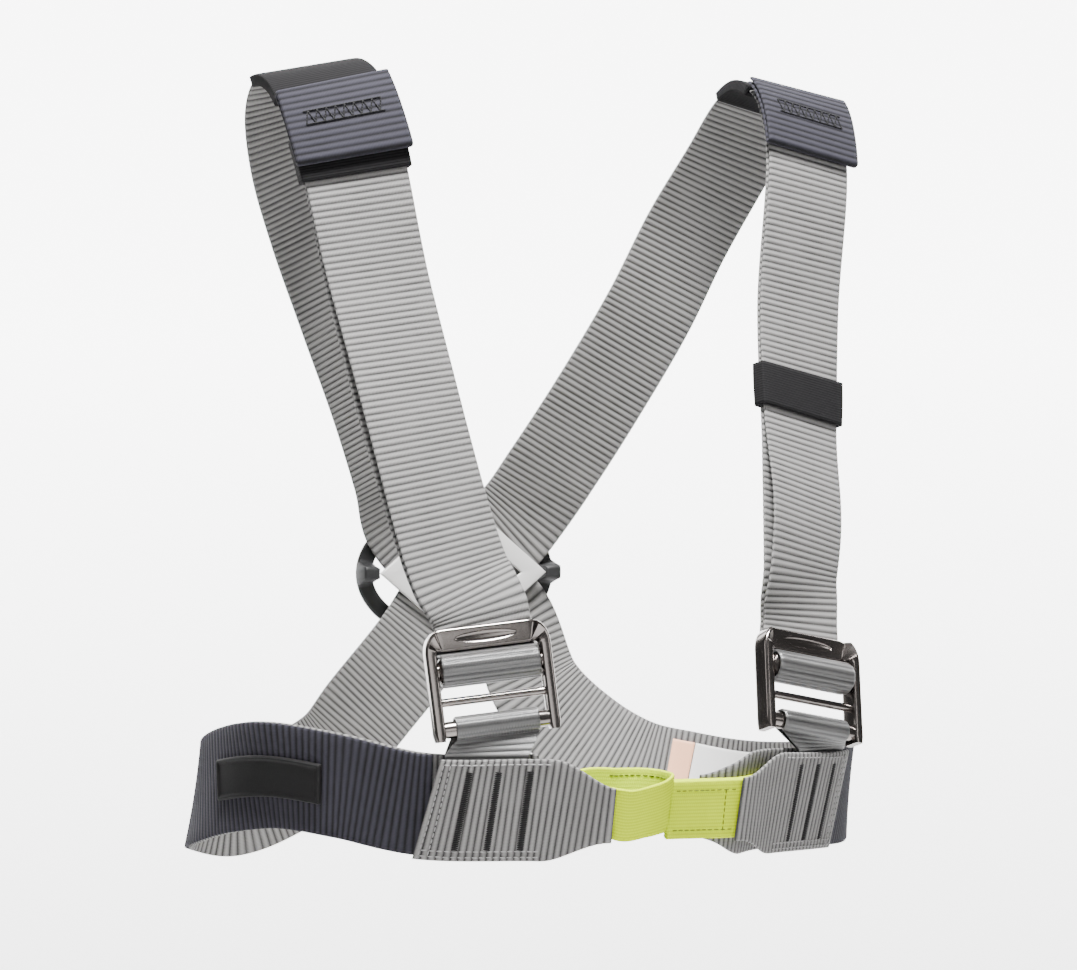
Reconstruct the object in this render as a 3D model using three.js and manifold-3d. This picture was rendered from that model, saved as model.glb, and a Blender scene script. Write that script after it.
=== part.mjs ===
// Climbing chest harness: two shoulder straps that cross in a back ring, a chest band and two tie-in loops.
// Millimetres, +Z up, front faces -Y. The origin lies midway between the shoulders, level with their tops.
import * as THREE from "three";
import { mergeVertices } from "three/addons/utils/BufferGeometryUtils.js";
import Module from "manifold-3d";

const wasm = await Module();
wasm.setup();

// Body that the harness goes round: half breadth at the band, depth front to back, drop from shoulder to band.
const HALF_BREADTH = 150;
const DEPTH = 200;
const DROP = 300;

// Webbing
const WEB_WIDTH = 44;
const WEB_THICK = 1.6;
const LAYER_GAP = 0.3;
const STEP = 6;
const CROSSING_LIFT = 1.3;
const LEAST_STEP = 0.8;
const BEND_STEPS = 8;

// Tapered ends of the band, where the webbing is folded narrower for the tie-in loops
const TAPER_END_WIDTH = 27;
const TAPER_LENGTH = 27;
const PATCH_LENGTH = 48;
const PATCH_SLANT = 5.5;
const NAVY_HIDDEN = 1.5;
const NAVY_FROM_RING = 150;

// Tie-in loops of narrow webbing
const LOOP_WIDTH = 25;
const LOOP_THICK = 1.6;
const LOOP_STEP = 3;
const LOOP_HIDDEN = 18;
const FLAT_LOOP_REACH = 29;

// Tail of each shoulder strap with its folded tab and elastic keepers
const TAB_WIDTH = 50;
const TAB_HEIGHT = 30;
const TAB_THICK = 1.8;
const TAIL_BOW = 4;
const TAB_SEAM = 4;
const KEEPER_UNDER_TAB = 11;
const KEEPER_THICK = 1.4;
const KEEPER_LENGTH = 19;
const CROWN_KEEPER_LENGTH = 26;

// Slider buckle: its bars lie below the top edge of the frame
const CUPPED_WIDTH = 40;
const BUCKLE_SIDE_GAP = 1.1;
const CUP_RUN = 16;
const BUCKLE_ARM = 4.6;
const BUCKLE_TOP = 17;
const BUCKLE_BOTTOM = 28;
const BUCKLE_BACK = 4.6;
const BUCKLE_FRONT = 3.6;
const BUCKLE_CORNER = 9;
const BUCKLE_BEVEL = 1.4;
const INNER_CORNER = 0.6;
const BAR_SIDES = 14;
const PAST = 1;
const TOP_RUN = 4;
const PLATE_THICK = 3;
const RECESS_WIDTH = 26;
const RECESS_HEIGHT = 5;
const RECESS_DEPTH = 1.2;
const UPPER_BAR_RADIUS = 5;
const MIDDLE_BAR_RADIUS = 1.7;
const LOWER_BAR_RADIUS = 3.4;
const MIDDLE_BAR_DROP = 12.5;
const LOWER_BAR_DROP = 23.5;
const LINK_WIDTH = 34;
const LINK_THICK = 1.2;
// Angles round a bar in degrees, from the front towards the top
const ROLL_ENTERS = 180;
const ROLL_LEAVES = 450;
const LINK_ENTERS = 190;
const LINK_LEAVES = -70;
const LINK_TURN = 25;
const LINK_HIDDEN = 28;
const LINK_CLEAR = 1;

// Back ring and the light cross plate that holds the straps against it
const RING_WIDTH = 97;
const RING_HEIGHT = 63;
const RING_BAND = 7.4;
const RING_THICK = 3;
const RING_SEAT = 1.4;
const RING_LUG_HALF = 4;
const RING_TURN = 9;
const RING_ABOVE_CROSSING = 2;
const CROSS_PLATE_HEIGHT = 66;
const CROSS_BAR = 12.4;
const CROSS_PLATE_THICK = 2.4;

// Labels
const LABEL_LENGTH = 60;
const LABEL_HEIGHT = 17;
const LABEL_THICK = 1.2;
const LABEL_BORDER = 1.6;
const LABEL_BORDER_RISE = 0.6;
const LABEL_END_DIP = 0.1;
const LABEL_FROM_PATCH = 44;
const LABEL_SEAT = 0.5;
const SATIN_LENGTH = 52;
const SATIN_HEIGHT = 34;
const SATIN_THICK = 1;
const SATIN_STRIP = 10;
const SATIN_FROM_RING = 138;

// Shoulder route from the back ring over the shoulder to the buckle, one row a section.
// across, deep and down are shares of HALF_BREADTH, DEPTH and DROP; edgeX, edgeY and edgeZ point to the outer edge.
const SHOULDER_COLUMNS = ["across", "deep", "down", "edgeX", "edgeY", "edgeZ"];
const LEFT_SHOULDER = [
  [0.18, 0.385, 0.627, 0.87, 0, -0.5],
  [0.28, 0.33, 0.543, 0.87, 0, -0.5],
  [0.387, 0.275, 0.443, 0.89, 0, -0.45],
  [0.513, 0.215, 0.317, 0.91, 0, -0.41],
  [0.613, 0.17, 0.2, 0.89, 0.05, -0.45],
  [0.687, 0.1, 0.107, 0.9, 0.1, -0.4],
  [0.733, 0.025, 0.033, 0.95, 0.1, -0.3],
  [0.747, -0.05, 0.007, 0.98, 0.1, -0.2],
  [0.747, -0.125, 0.02, 0.98, 0.13, -0.12],
  [0.727, -0.2, 0.103, 0.97, 0.15, -0.16],
  [0.663, -0.245, 0.32, 0.98, 0.18, -0.07],
  [0.603, -0.325, 0.527, 0.95, 0.3, -0.06],
  [0.55, -0.39, 0.69, 0.92, 0.35, -0.1],
];
const RIGHT_SHOULDER = [
  [0.165, 0.385, 0.627, 0.87, 0, -0.5],
  [0.25, 0.33, 0.543, 0.87, 0, -0.5],
  [0.35, 0.275, 0.443, 0.89, 0, -0.45],
  [0.485, 0.215, 0.317, 0.91, 0, -0.41],
  [0.6, 0.17, 0.2, 0.89, 0.05, -0.45],
  [0.695, 0.1, 0.107, 0.9, 0.1, -0.4],
  [0.75, 0.025, 0.033, 0.95, 0.1, -0.3],
  [0.76, -0.05, 0.003, 0.98, 0.1, -0.2],
  [0.75, -0.125, 0.02, 0.98, 0.13, -0.12],
  [0.72, -0.2, 0.11, 0.97, 0.15, -0.16],
  [0.655, -0.25, 0.32, 1, 0.04, -0.07],
  [0.59, -0.33, 0.527, 1, 0, -0.05],
  [0.52, -0.405, 0.69, 1, 0.05, -0.08],
];

// Band route of each side from the tie-in loop round the side to the back ring; the edge points down.
const BAND_COLUMNS = ["across", "deep", "down", "edgeX", "edgeY", "edgeZ"];
const RIGHT_SIDE_BAND = [
  [0.16, -0.57, 1.01, 0.05, 0.6, -0.8],
  [0.327, -0.508, 1.003, 0.05, 0.35, -0.93],
  [0.623, -0.395, 1, 0.07, 0.4, -0.91],
  [0.803, -0.29, 0.977, -0.05, 0.28, -0.95],
  [0.913, -0.15, 0.967, -0.1, 0.15, -0.98],
  [0.96, 0, 0.98, 0.05, 0.05, -0.98],
  [0.955, 0.15, 1.003, 0.1, 0.08, -0.98],
  [0.885, 0.26, 1.02, 0.1, 0.2, -0.96],
  [0.747, 0.33, 1.033, 0.05, 0, -1],
  [0.587, 0.35, 1.007, -0.3, -0.05, -0.95],
  [0.423, 0.37, 0.967, -0.65, 0, -0.75],
  [0.317, 0.38, 0.909, -0.748, 0, -0.664],
  [0.133, 0.385, 0.805, -0.748, 0, -0.664],
];
const LEFT_SIDE_BAND = [
  [0.113, -0.545, 1.01, 0.05, 0.25, -0.97],
  [0.21, -0.553, 1.01, 0.05, 0.25, -0.97],
  [0.347, -0.5, 1.007, 0.05, 0.3, -0.95],
  [0.623, -0.395, 1.01, 0.07, 0.4, -0.91],
  [0.795, -0.27, 1.013, 0, 0.2, -0.98],
  [0.885, -0.145, 1.013, 0.05, 0.1, -0.99],
  [0.93, -0.025, 1.02, 0.05, 0, -0.99],
  [0.907, 0.09, 1.03, 0.05, 0, -1],
  [0.813, 0.2, 1.03, 0, 0, -1],
  [0.68, 0.26, 1.017, -0.1, -0.1, -0.99],
  [0.533, 0.3, 0.997, -0.3, -0.1, -0.95],
  [0.4, 0.35, 0.953, -0.67, 0, -0.74],
  [0.26, 0.38, 0.882, -0.82, 0, -0.57],
  [0.163, 0.385, 0.772, -0.92, 0, -0.39],
];
const CROWN_ROW = 8;
const CROSSING_ROW = [0, 0.385, 0.71, 0.8, 0, -0.6];

// Open tie-in loop past the band's end: front layer, rounded end and back layer; lean is the tilt of its edges.
const OPEN_LOOP_COLUMNS = ["across", "deep", "down", "lean"];
const OPEN_LOOP_ROWS = [
  [0.127, -0.586, 1.017, 0.6],
  [0.08, -0.592, 1.013, 0.55],
  [0.033, -0.59, 1.008, 0.45],
  [-0.003, -0.575, 1.003, 0.3],
  [-0.01, -0.557, 1.002, 0.2],
  [0, -0.534, 1, 0.1],
  [0.04, -0.519, 0.998, 0.05],
  [0.12, -0.517, 0.997, 0.05],
  [0.2, -0.519, 0.995, 0.1],
];

// What differs between the sides of the wearer; sign is the side of X. The row of a buckle gives its upper bar:
// its place in the shares above, the direction of its outer end and the direction of its top.
const BUCKLE_COLUMNS = ["across", "deep", "down", "edgeX", "edgeY", "edgeZ", "upX", "upY", "upZ"];
const SIDES = [
  {
    name: "left",
    sign: 1,
    shoulder: LEFT_SHOULDER,
    band: LEFT_SIDE_BAND,
    buckle: [0.53, -0.465, 0.834, 0.975, 0.14, -0.15, 0.13, 0.3, 0.945],
    tabBelowCrown: 14,
    keeperShare: 0.54,
    openLoop: false,
    patchFrom: 15,
    webFrom: 0,
  },
  {
    name: "right",
    sign: -1,
    shoulder: RIGHT_SHOULDER,
    band: RIGHT_SIDE_BAND,
    buckle: [0.477, -0.485, 0.815, 0.96, 0.27, -0.09, 0.09, 0.1, 0.99],
    tabBelowCrown: 23,
    keeperShare: 0,
    openLoop: true,
    patchFrom: 0,
    webFrom: 31,
  },
];

// Values worked out from the sizes above
const LAYER = WEB_THICK + LAYER_GAP;
const HALF_WEB = WEB_WIDTH / 2;
const HALF_THICK = WEB_THICK / 2;
const HALF_CUPPED = CUPPED_WIDTH / 2;
const UPPER_ROLL = UPPER_BAR_RADIUS + LAYER_GAP + HALF_THICK;
const LOWER_ROLL = LOWER_BAR_RADIUS + LAYER_GAP + HALF_THICK;
const BUCKLE_HALF = HALF_CUPPED + BUCKLE_SIDE_GAP + BUCKLE_ARM;
const RING_CENTRE_DROP = CROSSING_ROW[SHOULDER_COLUMNS.indexOf("down")] * DROP - RING_ABOVE_CROSSING;
const CROSS_PLATE_WIDTH = RING_WIDTH - 2 * (RING_BAND + LAYER_GAP);

const COLOURS = {
  grey: { color: 0x9a9896, roughness: 0.75, metalness: 0 },
  navy: { color: 0x2b2b3c, roughness: 0.7, metalness: 0 },
  black: { color: 0x18171a, roughness: 0.8, metalness: 0 },
  lime: { color: 0xc2d722, roughness: 0.7, metalness: 0 },
  steel: { color: 0x3a373a, roughness: 0.3, metalness: 0.8 },
  plate: { color: 0xc4c2c0, roughness: 0.45, metalness: 0.2 },
  rubber: { color: 0x141316, roughness: 0.6, metalness: 0 },
  salmon: { color: 0xeec9b6, roughness: 0.6, metalness: 0 },
  satin: { color: 0xf4f2f0, roughness: 0.5, metalness: 0 },
};

const part = new THREE.Group();

function addMesh(name, geometry, look) {
  const mesh = new THREE.Mesh(geometry, new THREE.MeshStandardMaterial(COLOURS[look]));
  mesh.name = name;
  part.add(mesh);
}

// A closed surface through rings of points: capped at both ends, or joined end to end. The faces of a strip that lies
// on another are cut along the same diagonal, also where the strip runs back.
function loft(rings, joined = false) {
  const count = rings[0].length;
  const points = rings.flat();
  const index = [];
  const last = joined ? rings.length : rings.length - 1;
  for (let i = 0; i < last; i++) {
    const nextRing = (i + 1) % rings.length;
    const here = i * count;
    const next = nextRing * count;
    const turned = Boolean(rings[i].turned && rings[nextRing].turned);
    for (let j = 0; j < count; j++) {
      const k = (j + 1) % count;
      if ((j === 2) === turned) {
        index.push(here + j, here + k, next + k, here + j, next + k, next + j);
      } else {
        index.push(here + j, here + k, next + j, here + k, next + k, next + j);
      }
    }
  }
  if (!joined) {
    const end = (rings.length - 1) * count;
    for (let j = 1; j < count - 1; j++) {
      index.push(0, j + 1, j, end, end + j, end + j + 1);
    }
  }
  const geometry = new THREE.BufferGeometry().setFromPoints(points);
  geometry.setIndex(signedVolume(points, index) < 0 ? index.reverse() : index);
  return geometry;
}

function signedVolume(points, index) {
  let sum = 0;
  for (let i = 0; i < index.length; i += 3) {
    const [a, b, c] = [points[index[i]], points[index[i + 1]], points[index[i + 2]]];
    sum += a.dot(new THREE.Vector3().crossVectors(b, c));
  }
  return sum / 6;
}

function solid(geometry) {
  const bare = geometry.clone();
  bare.deleteAttribute("normal");
  bare.deleteAttribute("uv");
  const merged = mergeVertices(bare, 1e-4);
  const triVerts = new Uint32Array(merged.index.array);
  return new wasm.Manifold(
    new wasm.Mesh({ numProp: 3, vertProperties: merged.attributes.position.array, triVerts }),
  );
}

function geometryOf(body) {
  const mesh = body.getMesh();
  const geometry = new THREE.BufferGeometry();
  geometry.setAttribute("position", new THREE.BufferAttribute(mesh.vertProperties, 3));
  geometry.setIndex(new THREE.BufferAttribute(mesh.triVerts, 1));
  return geometry;
}

// A route through sections. It gives the centre, direction, edge direction and outward direction at a length along
// it, straight between stations a STEP apart, so that every layer on the route has the same facets.
function makeRoute(sections, sign, step = STEP) {
  const centre = new THREE.CatmullRomCurve3(sections.map((s) => s.at), false, "centripetal");
  const edges = new THREE.CatmullRomCurve3(sections.map((s) => s.edge), false, "centripetal");
  const samples = 60 * sections.length;
  const lengths = [0];
  let before = centre.getPoint(0);
  for (let i = 1; i <= samples; i++) {
    const here = centre.getPoint(i / samples);
    lengths.push(lengths[i - 1] + here.distanceTo(before));
    before = here;
  }
  const length = lengths[samples];
  const count = Math.round(length / step);
  const stations = Array.from({ length: count + 1 }, (_, k) => {
    const wanted = (length * k) / count;
    let i = 1;
    while (i < samples && lengths[i] < wanted) i++;
    const share = (wanted - lengths[i - 1]) / (lengths[i] - lengths[i - 1]);
    const t = (i - 1 + share) / samples;
    const along = centre.getTangent(t);
    const edge = edges.getPoint(t);
    edge.addScaledVector(along, -edge.dot(along)).normalize();
    const out = new THREE.Vector3().crossVectors(along, edge).multiplyScalar(sign);
    return { at: centre.getPoint(t), along, edge, out };
  });
  function frame(distance) {
    const place = (THREE.MathUtils.clamp(distance, 0, length) / length) * count;
    const k = Math.min(Math.floor(place), count - 1);
    const [a, b] = [stations[k], stations[k + 1]];
    const mix = (name) => a[name].clone().lerp(b[name], place - k);
    const past = distance - THREE.MathUtils.clamp(distance, 0, length);
    const at = mix("at").addScaledVector(mix("along"), past);
    return { at, along: mix("along"), edge: mix("edge"), out: mix("out") };
  }
  const sectionLength = (row) => lengths[Math.round((row / (sections.length - 1)) * samples)];
  return { length, count, frame, sectionLength };
}

// Lengths along a route from one to another: both ends and each station between them
function stationsOf(route, from, to) {
  const unit = route.length / route.count;
  const [low, high] = [Math.min(from, to), Math.max(from, to)];
  const between = spaced(0, route.count, 1)
    .map((k) => k * unit)
    .filter((d) => d > low + LEAST_STEP && d < high - LEAST_STEP);
  const all = [low, ...between, high];
  return from < to ? all : all.reverse();
}

function moved(frame, lift, shift = 0) {
  const at = frame.at.clone().addScaledVector(frame.out, lift).addScaledVector(frame.edge, shift);
  return { ...frame, at };
}

// One cross-section of a flat strip
function stripRing(frame, halfWidth, halfThick) {
  const corner = (side, face) =>
    frame.at
      .clone()
      .addScaledVector(frame.edge, side * halfWidth)
      .addScaledVector(frame.out, face * halfThick);
  const ring = [corner(-1, -1), corner(1, -1), corner(1, 1), corner(-1, 1)];
  return Object.assign(ring, { turned: frame.turned });
}

function spaced(from, to, step) {
  const count = Math.max(1, Math.round(Math.abs(to - from) / step));
  return Array.from({ length: count + 1 }, (_, i) => from + ((to - from) * i) / count);
}

// A strip of cloth that lies on a route at a lift above it
function strip(route, from, to, lift, options = {}) {
  const { halfWidth = HALF_WEB, thick = WEB_THICK, shift = 0, slant = 0 } = options;
  const valueOf = (size, d) => (typeof size === "function" ? size(d) : size);
  const rings = stationsOf(route, from, to - slant).map((d) =>
    stripRing(moved(route.frame(d), valueOf(lift, d), shift), valueOf(halfWidth, d), thick / 2),
  );
  if (slant > 0) {
    const corner = (side, face) => {
      const d = to + side * (slant - LEAST_STEP);
      return moved(route.frame(d), valueOf(lift, d) + (face * thick) / 2, side * valueOf(halfWidth, d)).at;
    };
    rings.push([corner(-1, -1), corner(1, -1), corner(1, 1), corner(-1, 1)]);
  }
  return loft(rings);
}

// An elastic sleeve round the layers that lie between two lifts of a route
function sleeve(route, from, to, low, high) {
  const stations = stationsOf(route, from, to);
  const wall = (grow) =>
    stations.map((d) => {
      const f = route.frame(d);
      const corner = (side, lift) => moved(f, lift, side * (HALF_WEB + LAYER_GAP + grow)).at;
      const ring = [
        corner(-1, low - grow),
        corner(1, low - grow),
        corner(1, high + grow),
        corner(-1, high + grow),
      ];
      return Object.assign(ring, { turned: grow === 0 });
    });
  return loft([...wall(KEEPER_THICK), ...wall(0).reverse()], true);
}

function sectionOf(row, columns, sign) {
  const value = Object.fromEntries(columns.map((name, i) => [name, row[i]]));
  return {
    at: new THREE.Vector3(sign * value.across * HALF_BREADTH, value.deep * DEPTH, -value.down * DROP),
    edge: new THREE.Vector3(sign * value.edgeX, value.edgeY, value.edgeZ),
  };
}

// The buckle's own frame: origin on its upper bar, edge to the outer side, up to its top, out to the front
function buckleFrame(side) {
  const row = Object.fromEntries(BUCKLE_COLUMNS.map((name, i) => [name, side.buckle[i]]));
  const at = sectionOf(side.buckle, BUCKLE_COLUMNS, side.sign).at;
  const up = new THREE.Vector3(side.sign * row.upX, row.upY, row.upZ).normalize();
  const edge = new THREE.Vector3(side.sign * row.edgeX, row.edgeY, row.edgeZ);
  edge.addScaledVector(up, -edge.dot(up)).normalize();
  const out = new THREE.Vector3().crossVectors(up, edge).multiplyScalar(-side.sign);
  return { at, edge, up, out };
}

function inBuckle(frame, out, up, edge = 0) {
  return frame.at
    .clone()
    .addScaledVector(frame.out, out)
    .addScaledVector(frame.up, up)
    .addScaledVector(frame.edge, edge);
}

// Cross-section of webbing in the buckle frame, from its place and the angle of its inner face
function bentRing(frame, out, up, faceOut, faceUp, halfWidth = HALF_CUPPED) {
  const at = inBuckle(frame, out, up);
  const face = frame.out.clone().multiplyScalar(faceOut).addScaledVector(frame.up, faceUp);
  return stripRing({ at, edge: frame.edge, out: face }, halfWidth, HALF_THICK);
}

// Sections round a bar from one angle to another, in degrees from the front towards the top
function arcRings(frame, radius, dropOfBar, from, to, turns) {
  return Array.from({ length: turns + 1 }, (_, i) => {
    const angle = THREE.MathUtils.degToRad(from + ((to - from) * i) / turns);
    const [c, s] = [Math.cos(angle), Math.sin(angle)];
    return bentRing(frame, radius * c, radius * s - dropOfBar, -c, -s);
  });
}

// The route of one shoulder's webbing: far band end, back ring, shoulder, and down behind the upper bar
function shoulderRoute(side, other) {
  const crossing = sectionOf(CROSSING_ROW, SHOULDER_COLUMNS, side.sign);
  const lower = other.band.map((row) => sectionOf(row, BAND_COLUMNS, other.sign));
  const upper = side.shoulder.map((row) => sectionOf(row, SHOULDER_COLUMNS, side.sign));
  for (const section of [lower.at(-1), crossing, upper[0]]) {
    section.at.y -= side.sign * CROSSING_LIFT;
  }
  const frame = buckleFrame(side);
  const behind = (up) => ({ at: inBuckle(frame, -UPPER_ROLL, up), edge: frame.edge });
  const sections = [...lower, crossing, ...upper, behind(BUCKLE_TOP + TOP_RUN), behind(LAYER_GAP)];
  const route = makeRoute(sections, side.sign);
  return {
    ...route,
    ringAt: route.sectionLength(lower.length),
    crownAt: route.sectionLength(lower.length + CROWN_ROW),
    buckleAt: route.sectionLength(sections.length - 2),
  };
}

const routes = {};
SIDES.forEach((side, i) => {
  routes[side.name] = shoulderRoute(side, SIDES[1 - i]);
});

// Half width of the webbing that narrows towards the tie-in loop
function taperHalf(distance) {
  const share = THREE.MathUtils.smoothstep(distance, 0, TAPER_LENGTH);
  return THREE.MathUtils.lerp(TAPER_END_WIDTH / 2, HALF_WEB, share);
}

// Webbing of a shoulder: along its route, round the upper bar and back up as the tail
function shoulderStrap(route, frame, webFrom, tailEnd, tailLift) {
  const halfAt = (d) => {
    const cupped = THREE.MathUtils.smoothstep(d, route.buckleAt - CUP_RUN, route.buckleAt);
    return Math.min(taperHalf(d), THREE.MathUtils.lerp(HALF_WEB, HALF_CUPPED, cupped));
  };
  const carried = stationsOf(route, webFrom, route.length).map((d) =>
    stripRing(route.frame(d), halfAt(d), HALF_THICK),
  );
  const roll = arcRings(frame, UPPER_ROLL, 0, ROLL_ENTERS, ROLL_LEAVES, 2 * BEND_STEPS);
  const turnRadius = HALF_THICK + 2 * LAYER_GAP;
  const turnOut = LAYER + turnRadius - UPPER_ROLL;
  const turn = spaced(0, 90, 30).map((degrees) => {
    const angle = THREE.MathUtils.degToRad(degrees);
    const out = turnOut - turnRadius * Math.sin(angle);
    const up = UPPER_ROLL + turnRadius * (1 - Math.cos(angle));
    return bentRing(frame, out, up, -Math.sin(angle), -Math.cos(angle));
  });
  const tail = stationsOf(route, route.buckleAt, tailEnd).map((d) =>
    stripRing(facingBack(moved(route.frame(d), tailLift(d))), halfAt(d), HALF_THICK),
  );
  return loft([...carried, ...roll, ...turn, ...tail]);
}

function facingBack(frame) {
  return { ...frame, out: frame.out.clone().negate(), turned: true };
}

// Two layers of a strip with the fold between them, from one length on the route to another and back
function foldedStrip(route, from, to, low, high, halfWidth, thick) {
  const bend = route.frame(to);
  const radius = (high - low) / 2;
  const heading = bend.along.clone().multiplyScalar(Math.sign(to - from));
  const fold = [45, 90, 135].map((degrees) => {
    const angle = THREE.MathUtils.degToRad(degrees);
    const at = moved(bend, (low + high) / 2 - radius * Math.cos(angle)).at;
    at.addScaledVector(heading, radius * Math.sin(angle));
    const out = bend.out.clone().multiplyScalar(Math.cos(angle));
    out.addScaledVector(heading, -Math.sin(angle));
    return stripRing({ at, edge: bend.edge, out }, halfWidth, thick / 2);
  });
  const stations = stationsOf(route, from, to);
  const under = stations.map((d) => stripRing(moved(route.frame(d), low), halfWidth, thick / 2));
  const over = stations.reverse().map((d) =>
    stripRing(facingBack(moved(route.frame(d), high)), halfWidth, thick / 2),
  );
  return loft([...under, ...fold, ...over]);
}

SIDES.forEach((side, i) => {
  const route = routes[side.name];
  const other = SIDES[1 - i];
  const band = routes[other.name];
  const frame = buckleFrame(side);
  const patchEnd = side.patchFrom + TAPER_LENGTH + PATCH_LENGTH;
  const tabTop = route.crownAt + side.tabBelowCrown;
  const tabEnd = tabTop + TAB_HEIGHT;
  const keeperFirst = tabEnd - KEEPER_UNDER_TAB;
  const keeperFrom = THREE.MathUtils.lerp(keeperFirst, route.buckleAt - KEEPER_LENGTH, side.keeperShare);
  const keeperTo = keeperFrom + KEEPER_LENGTH;
  const snug = HALF_THICK + LAYER_GAP;
  const tailLift = (d) => {
    const share = THREE.MathUtils.clamp((d - keeperTo) / (route.buckleAt - keeperTo), 0, 1);
    return LAYER + TAIL_BOW * Math.sin(Math.PI * share) ** 2;
  };

  addMesh(
    "shoulder_strap_" + side.name,
    shoulderStrap(route, frame, other.webFrom, tabTop + TAB_SEAM, tailLift),
    "grey",
  );
  const overKeeper = side.keeperShare === 0 ? KEEPER_THICK + LAYER_GAP : 0;
  const tabLow = LAYER + snug + overKeeper + TAB_THICK / 2;
  addMesh(
    "tail_tab_" + side.name,
    foldedStrip(route, tabTop, tabEnd, tabLow, tabLow + TAB_THICK + LAYER_GAP, TAB_WIDTH / 2, TAB_THICK),
    "navy",
  );
  addMesh(
    "crown_keeper_" + side.name,
    sleeve(route, tabTop - CROWN_KEEPER_LENGTH, tabTop - LAYER_GAP, -snug, snug),
    "black",
  );
  addMesh("tail_keeper_" + side.name, sleeve(route, keeperFrom, keeperTo, -snug, LAYER + snug), "black");

  addMesh("buckle_" + side.name, buckle(frame), "steel");
  addMesh("buckle_link_" + side.name, link(frame, band, patchEnd - PATCH_LENGTH / 2), "grey");

  addMesh(
    "chest_band_" + side.name,
    strip(band, patchEnd - NAVY_HIDDEN, band.ringAt - NAVY_FROM_RING, LAYER),
    "navy",
  );
  const layersUnder = (d) => {
    const full = THREE.MathUtils.smoothstep(d - side.patchFrom, 0, TAPER_LENGTH);
    return LAYER * (side.openLoop ? THREE.MathUtils.lerp(2, 3, full) : 3);
  };
  addMesh(
    "tack_patch_" + side.name,
    strip(band, side.patchFrom, patchEnd, layersUnder, {
      halfWidth: (d) => taperHalf(d - side.patchFrom),
      slant: PATCH_SLANT,
    }),
    "grey",
  );
  addMesh("tie_in_loop_" + side.name, side.openLoop ? openLoop(band, side) : flatLoop(band, side), "lime");
});

// Moulded label on the outer face of the band, a plain plate with a raised border
{
  const side = SIDES[1];
  const band = routes[SIDES[0].name];
  const patchEnd = side.patchFrom + TAPER_LENGTH + PATCH_LENGTH;
  const from = patchEnd + LABEL_FROM_PATCH;
  const to = from + LABEL_LENGTH;
  const base = LAYER + HALF_THICK + LABEL_SEAT;
  const half = LABEL_HEIGHT / 2;
  const inner = half - LABEL_BORDER;
  const full = LABEL_THICK + LABEL_BORDER_RISE;
  const ring = (d, middle) =>
    [
      [-half, 0],
      [half, 0],
      [half, full],
      [inner, full],
      [inner, middle],
      [-inner, middle],
      [-inner, full],
      [-half, full],
    ].map(([shift, rise]) => moved(band.frame(d), base + rise, shift).at);
  const ends = full - LABEL_END_DIP;
  const plate = stationsOf(band, from + 2 * LABEL_BORDER, to - 2 * LABEL_BORDER);
  const body = loft([
    ring(from, ends),
    ring(from + LABEL_BORDER, ends),
    ...plate.map((d) => ring(d, LABEL_THICK)),
    ring(to - LABEL_BORDER, ends),
    ring(to, ends),
  ]);
  addMesh("rubber_label", body, "rubber");
}

// Sewn label on the inner face near the back, with a strip of another colour at its end
{
  const band = routes[SIDES[1].name];
  const stripTo = band.ringAt - SATIN_FROM_RING;
  const lift = -(HALF_THICK + LAYER_GAP + SATIN_THICK / 2);
  const cloth = { halfWidth: SATIN_HEIGHT / 2, thick: SATIN_THICK };
  const clothTo = stripTo - SATIN_STRIP - LAYER_GAP;
  addMesh("satin_label", strip(band, clothTo - SATIN_LENGTH, clothTo, lift, cloth), "satin");
  addMesh("label_strip", strip(band, stripTo - SATIN_STRIP, stripTo, lift, cloth), "salmon");
}

addMesh("back_ring", backRing(), "rubber");
addMesh("cross_plate", crossPlate(), "plate");

// Oval ring behind the crossing, with a lug at each side that reaches forward beside the straps
function backRing() {
  const crossing = sectionOf(CROSSING_ROW, SHOULDER_COLUMNS, 1).at;
  const front = crossing.y + CROSSING_LIFT + HALF_THICK + RING_SEAT;
  const lugFront = crossing.y - CROSSING_LIFT - HALF_THICK - LAYER_GAP - CROSS_PLATE_THICK;
  const rings = spaced(0, 360 - RING_TURN, RING_TURN).map((degrees) => {
    const angle = THREE.MathUtils.degToRad(degrees);
    const place = (inset, y) =>
      new THREE.Vector3(
        (RING_WIDTH / 2 - inset) * Math.cos(angle),
        y,
        (RING_HEIGHT / 2 - inset) * Math.sin(angle) - RING_CENTRE_DROP,
      );
    const isLug = Math.abs((RING_HEIGHT / 2) * Math.sin(angle)) < RING_LUG_HALF;
    const face = isLug ? lugFront : front;
    const back = front + RING_THICK;
    return [place(0, face), place(RING_BAND, face), place(RING_BAND, back), place(0, back)];
  });
  return loft(rings, true);
}

// Light diamond frame on the body side of the crossing
function crossPlate() {
  const crossing = sectionOf(CROSSING_ROW, SHOULDER_COLUMNS, 1).at;
  const diamond = (inset) => {
    const shape = new THREE.Shape();
    const half = CROSS_PLATE_WIDTH / 2 - inset;
    const tall = CROSS_PLATE_HEIGHT / 2 - (inset * CROSS_PLATE_HEIGHT) / CROSS_PLATE_WIDTH;
    shape.moveTo(half, 0);
    shape.lineTo(0, tall);
    shape.lineTo(-half, 0);
    shape.lineTo(0, -tall);
    return shape;
  };
  const shape = diamond(0);
  shape.holes.push(diamond(CROSS_BAR));
  const plate = new THREE.ExtrudeGeometry(shape, { depth: CROSS_PLATE_THICK, bevelEnabled: false });
  const back = crossing.y - CROSSING_LIFT - HALF_THICK - LAYER_GAP;
  plate.rotateX(Math.PI / 2).translate(0, back, -RING_CENTRE_DROP);
  return geometryOf(solid(plate));
}

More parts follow.
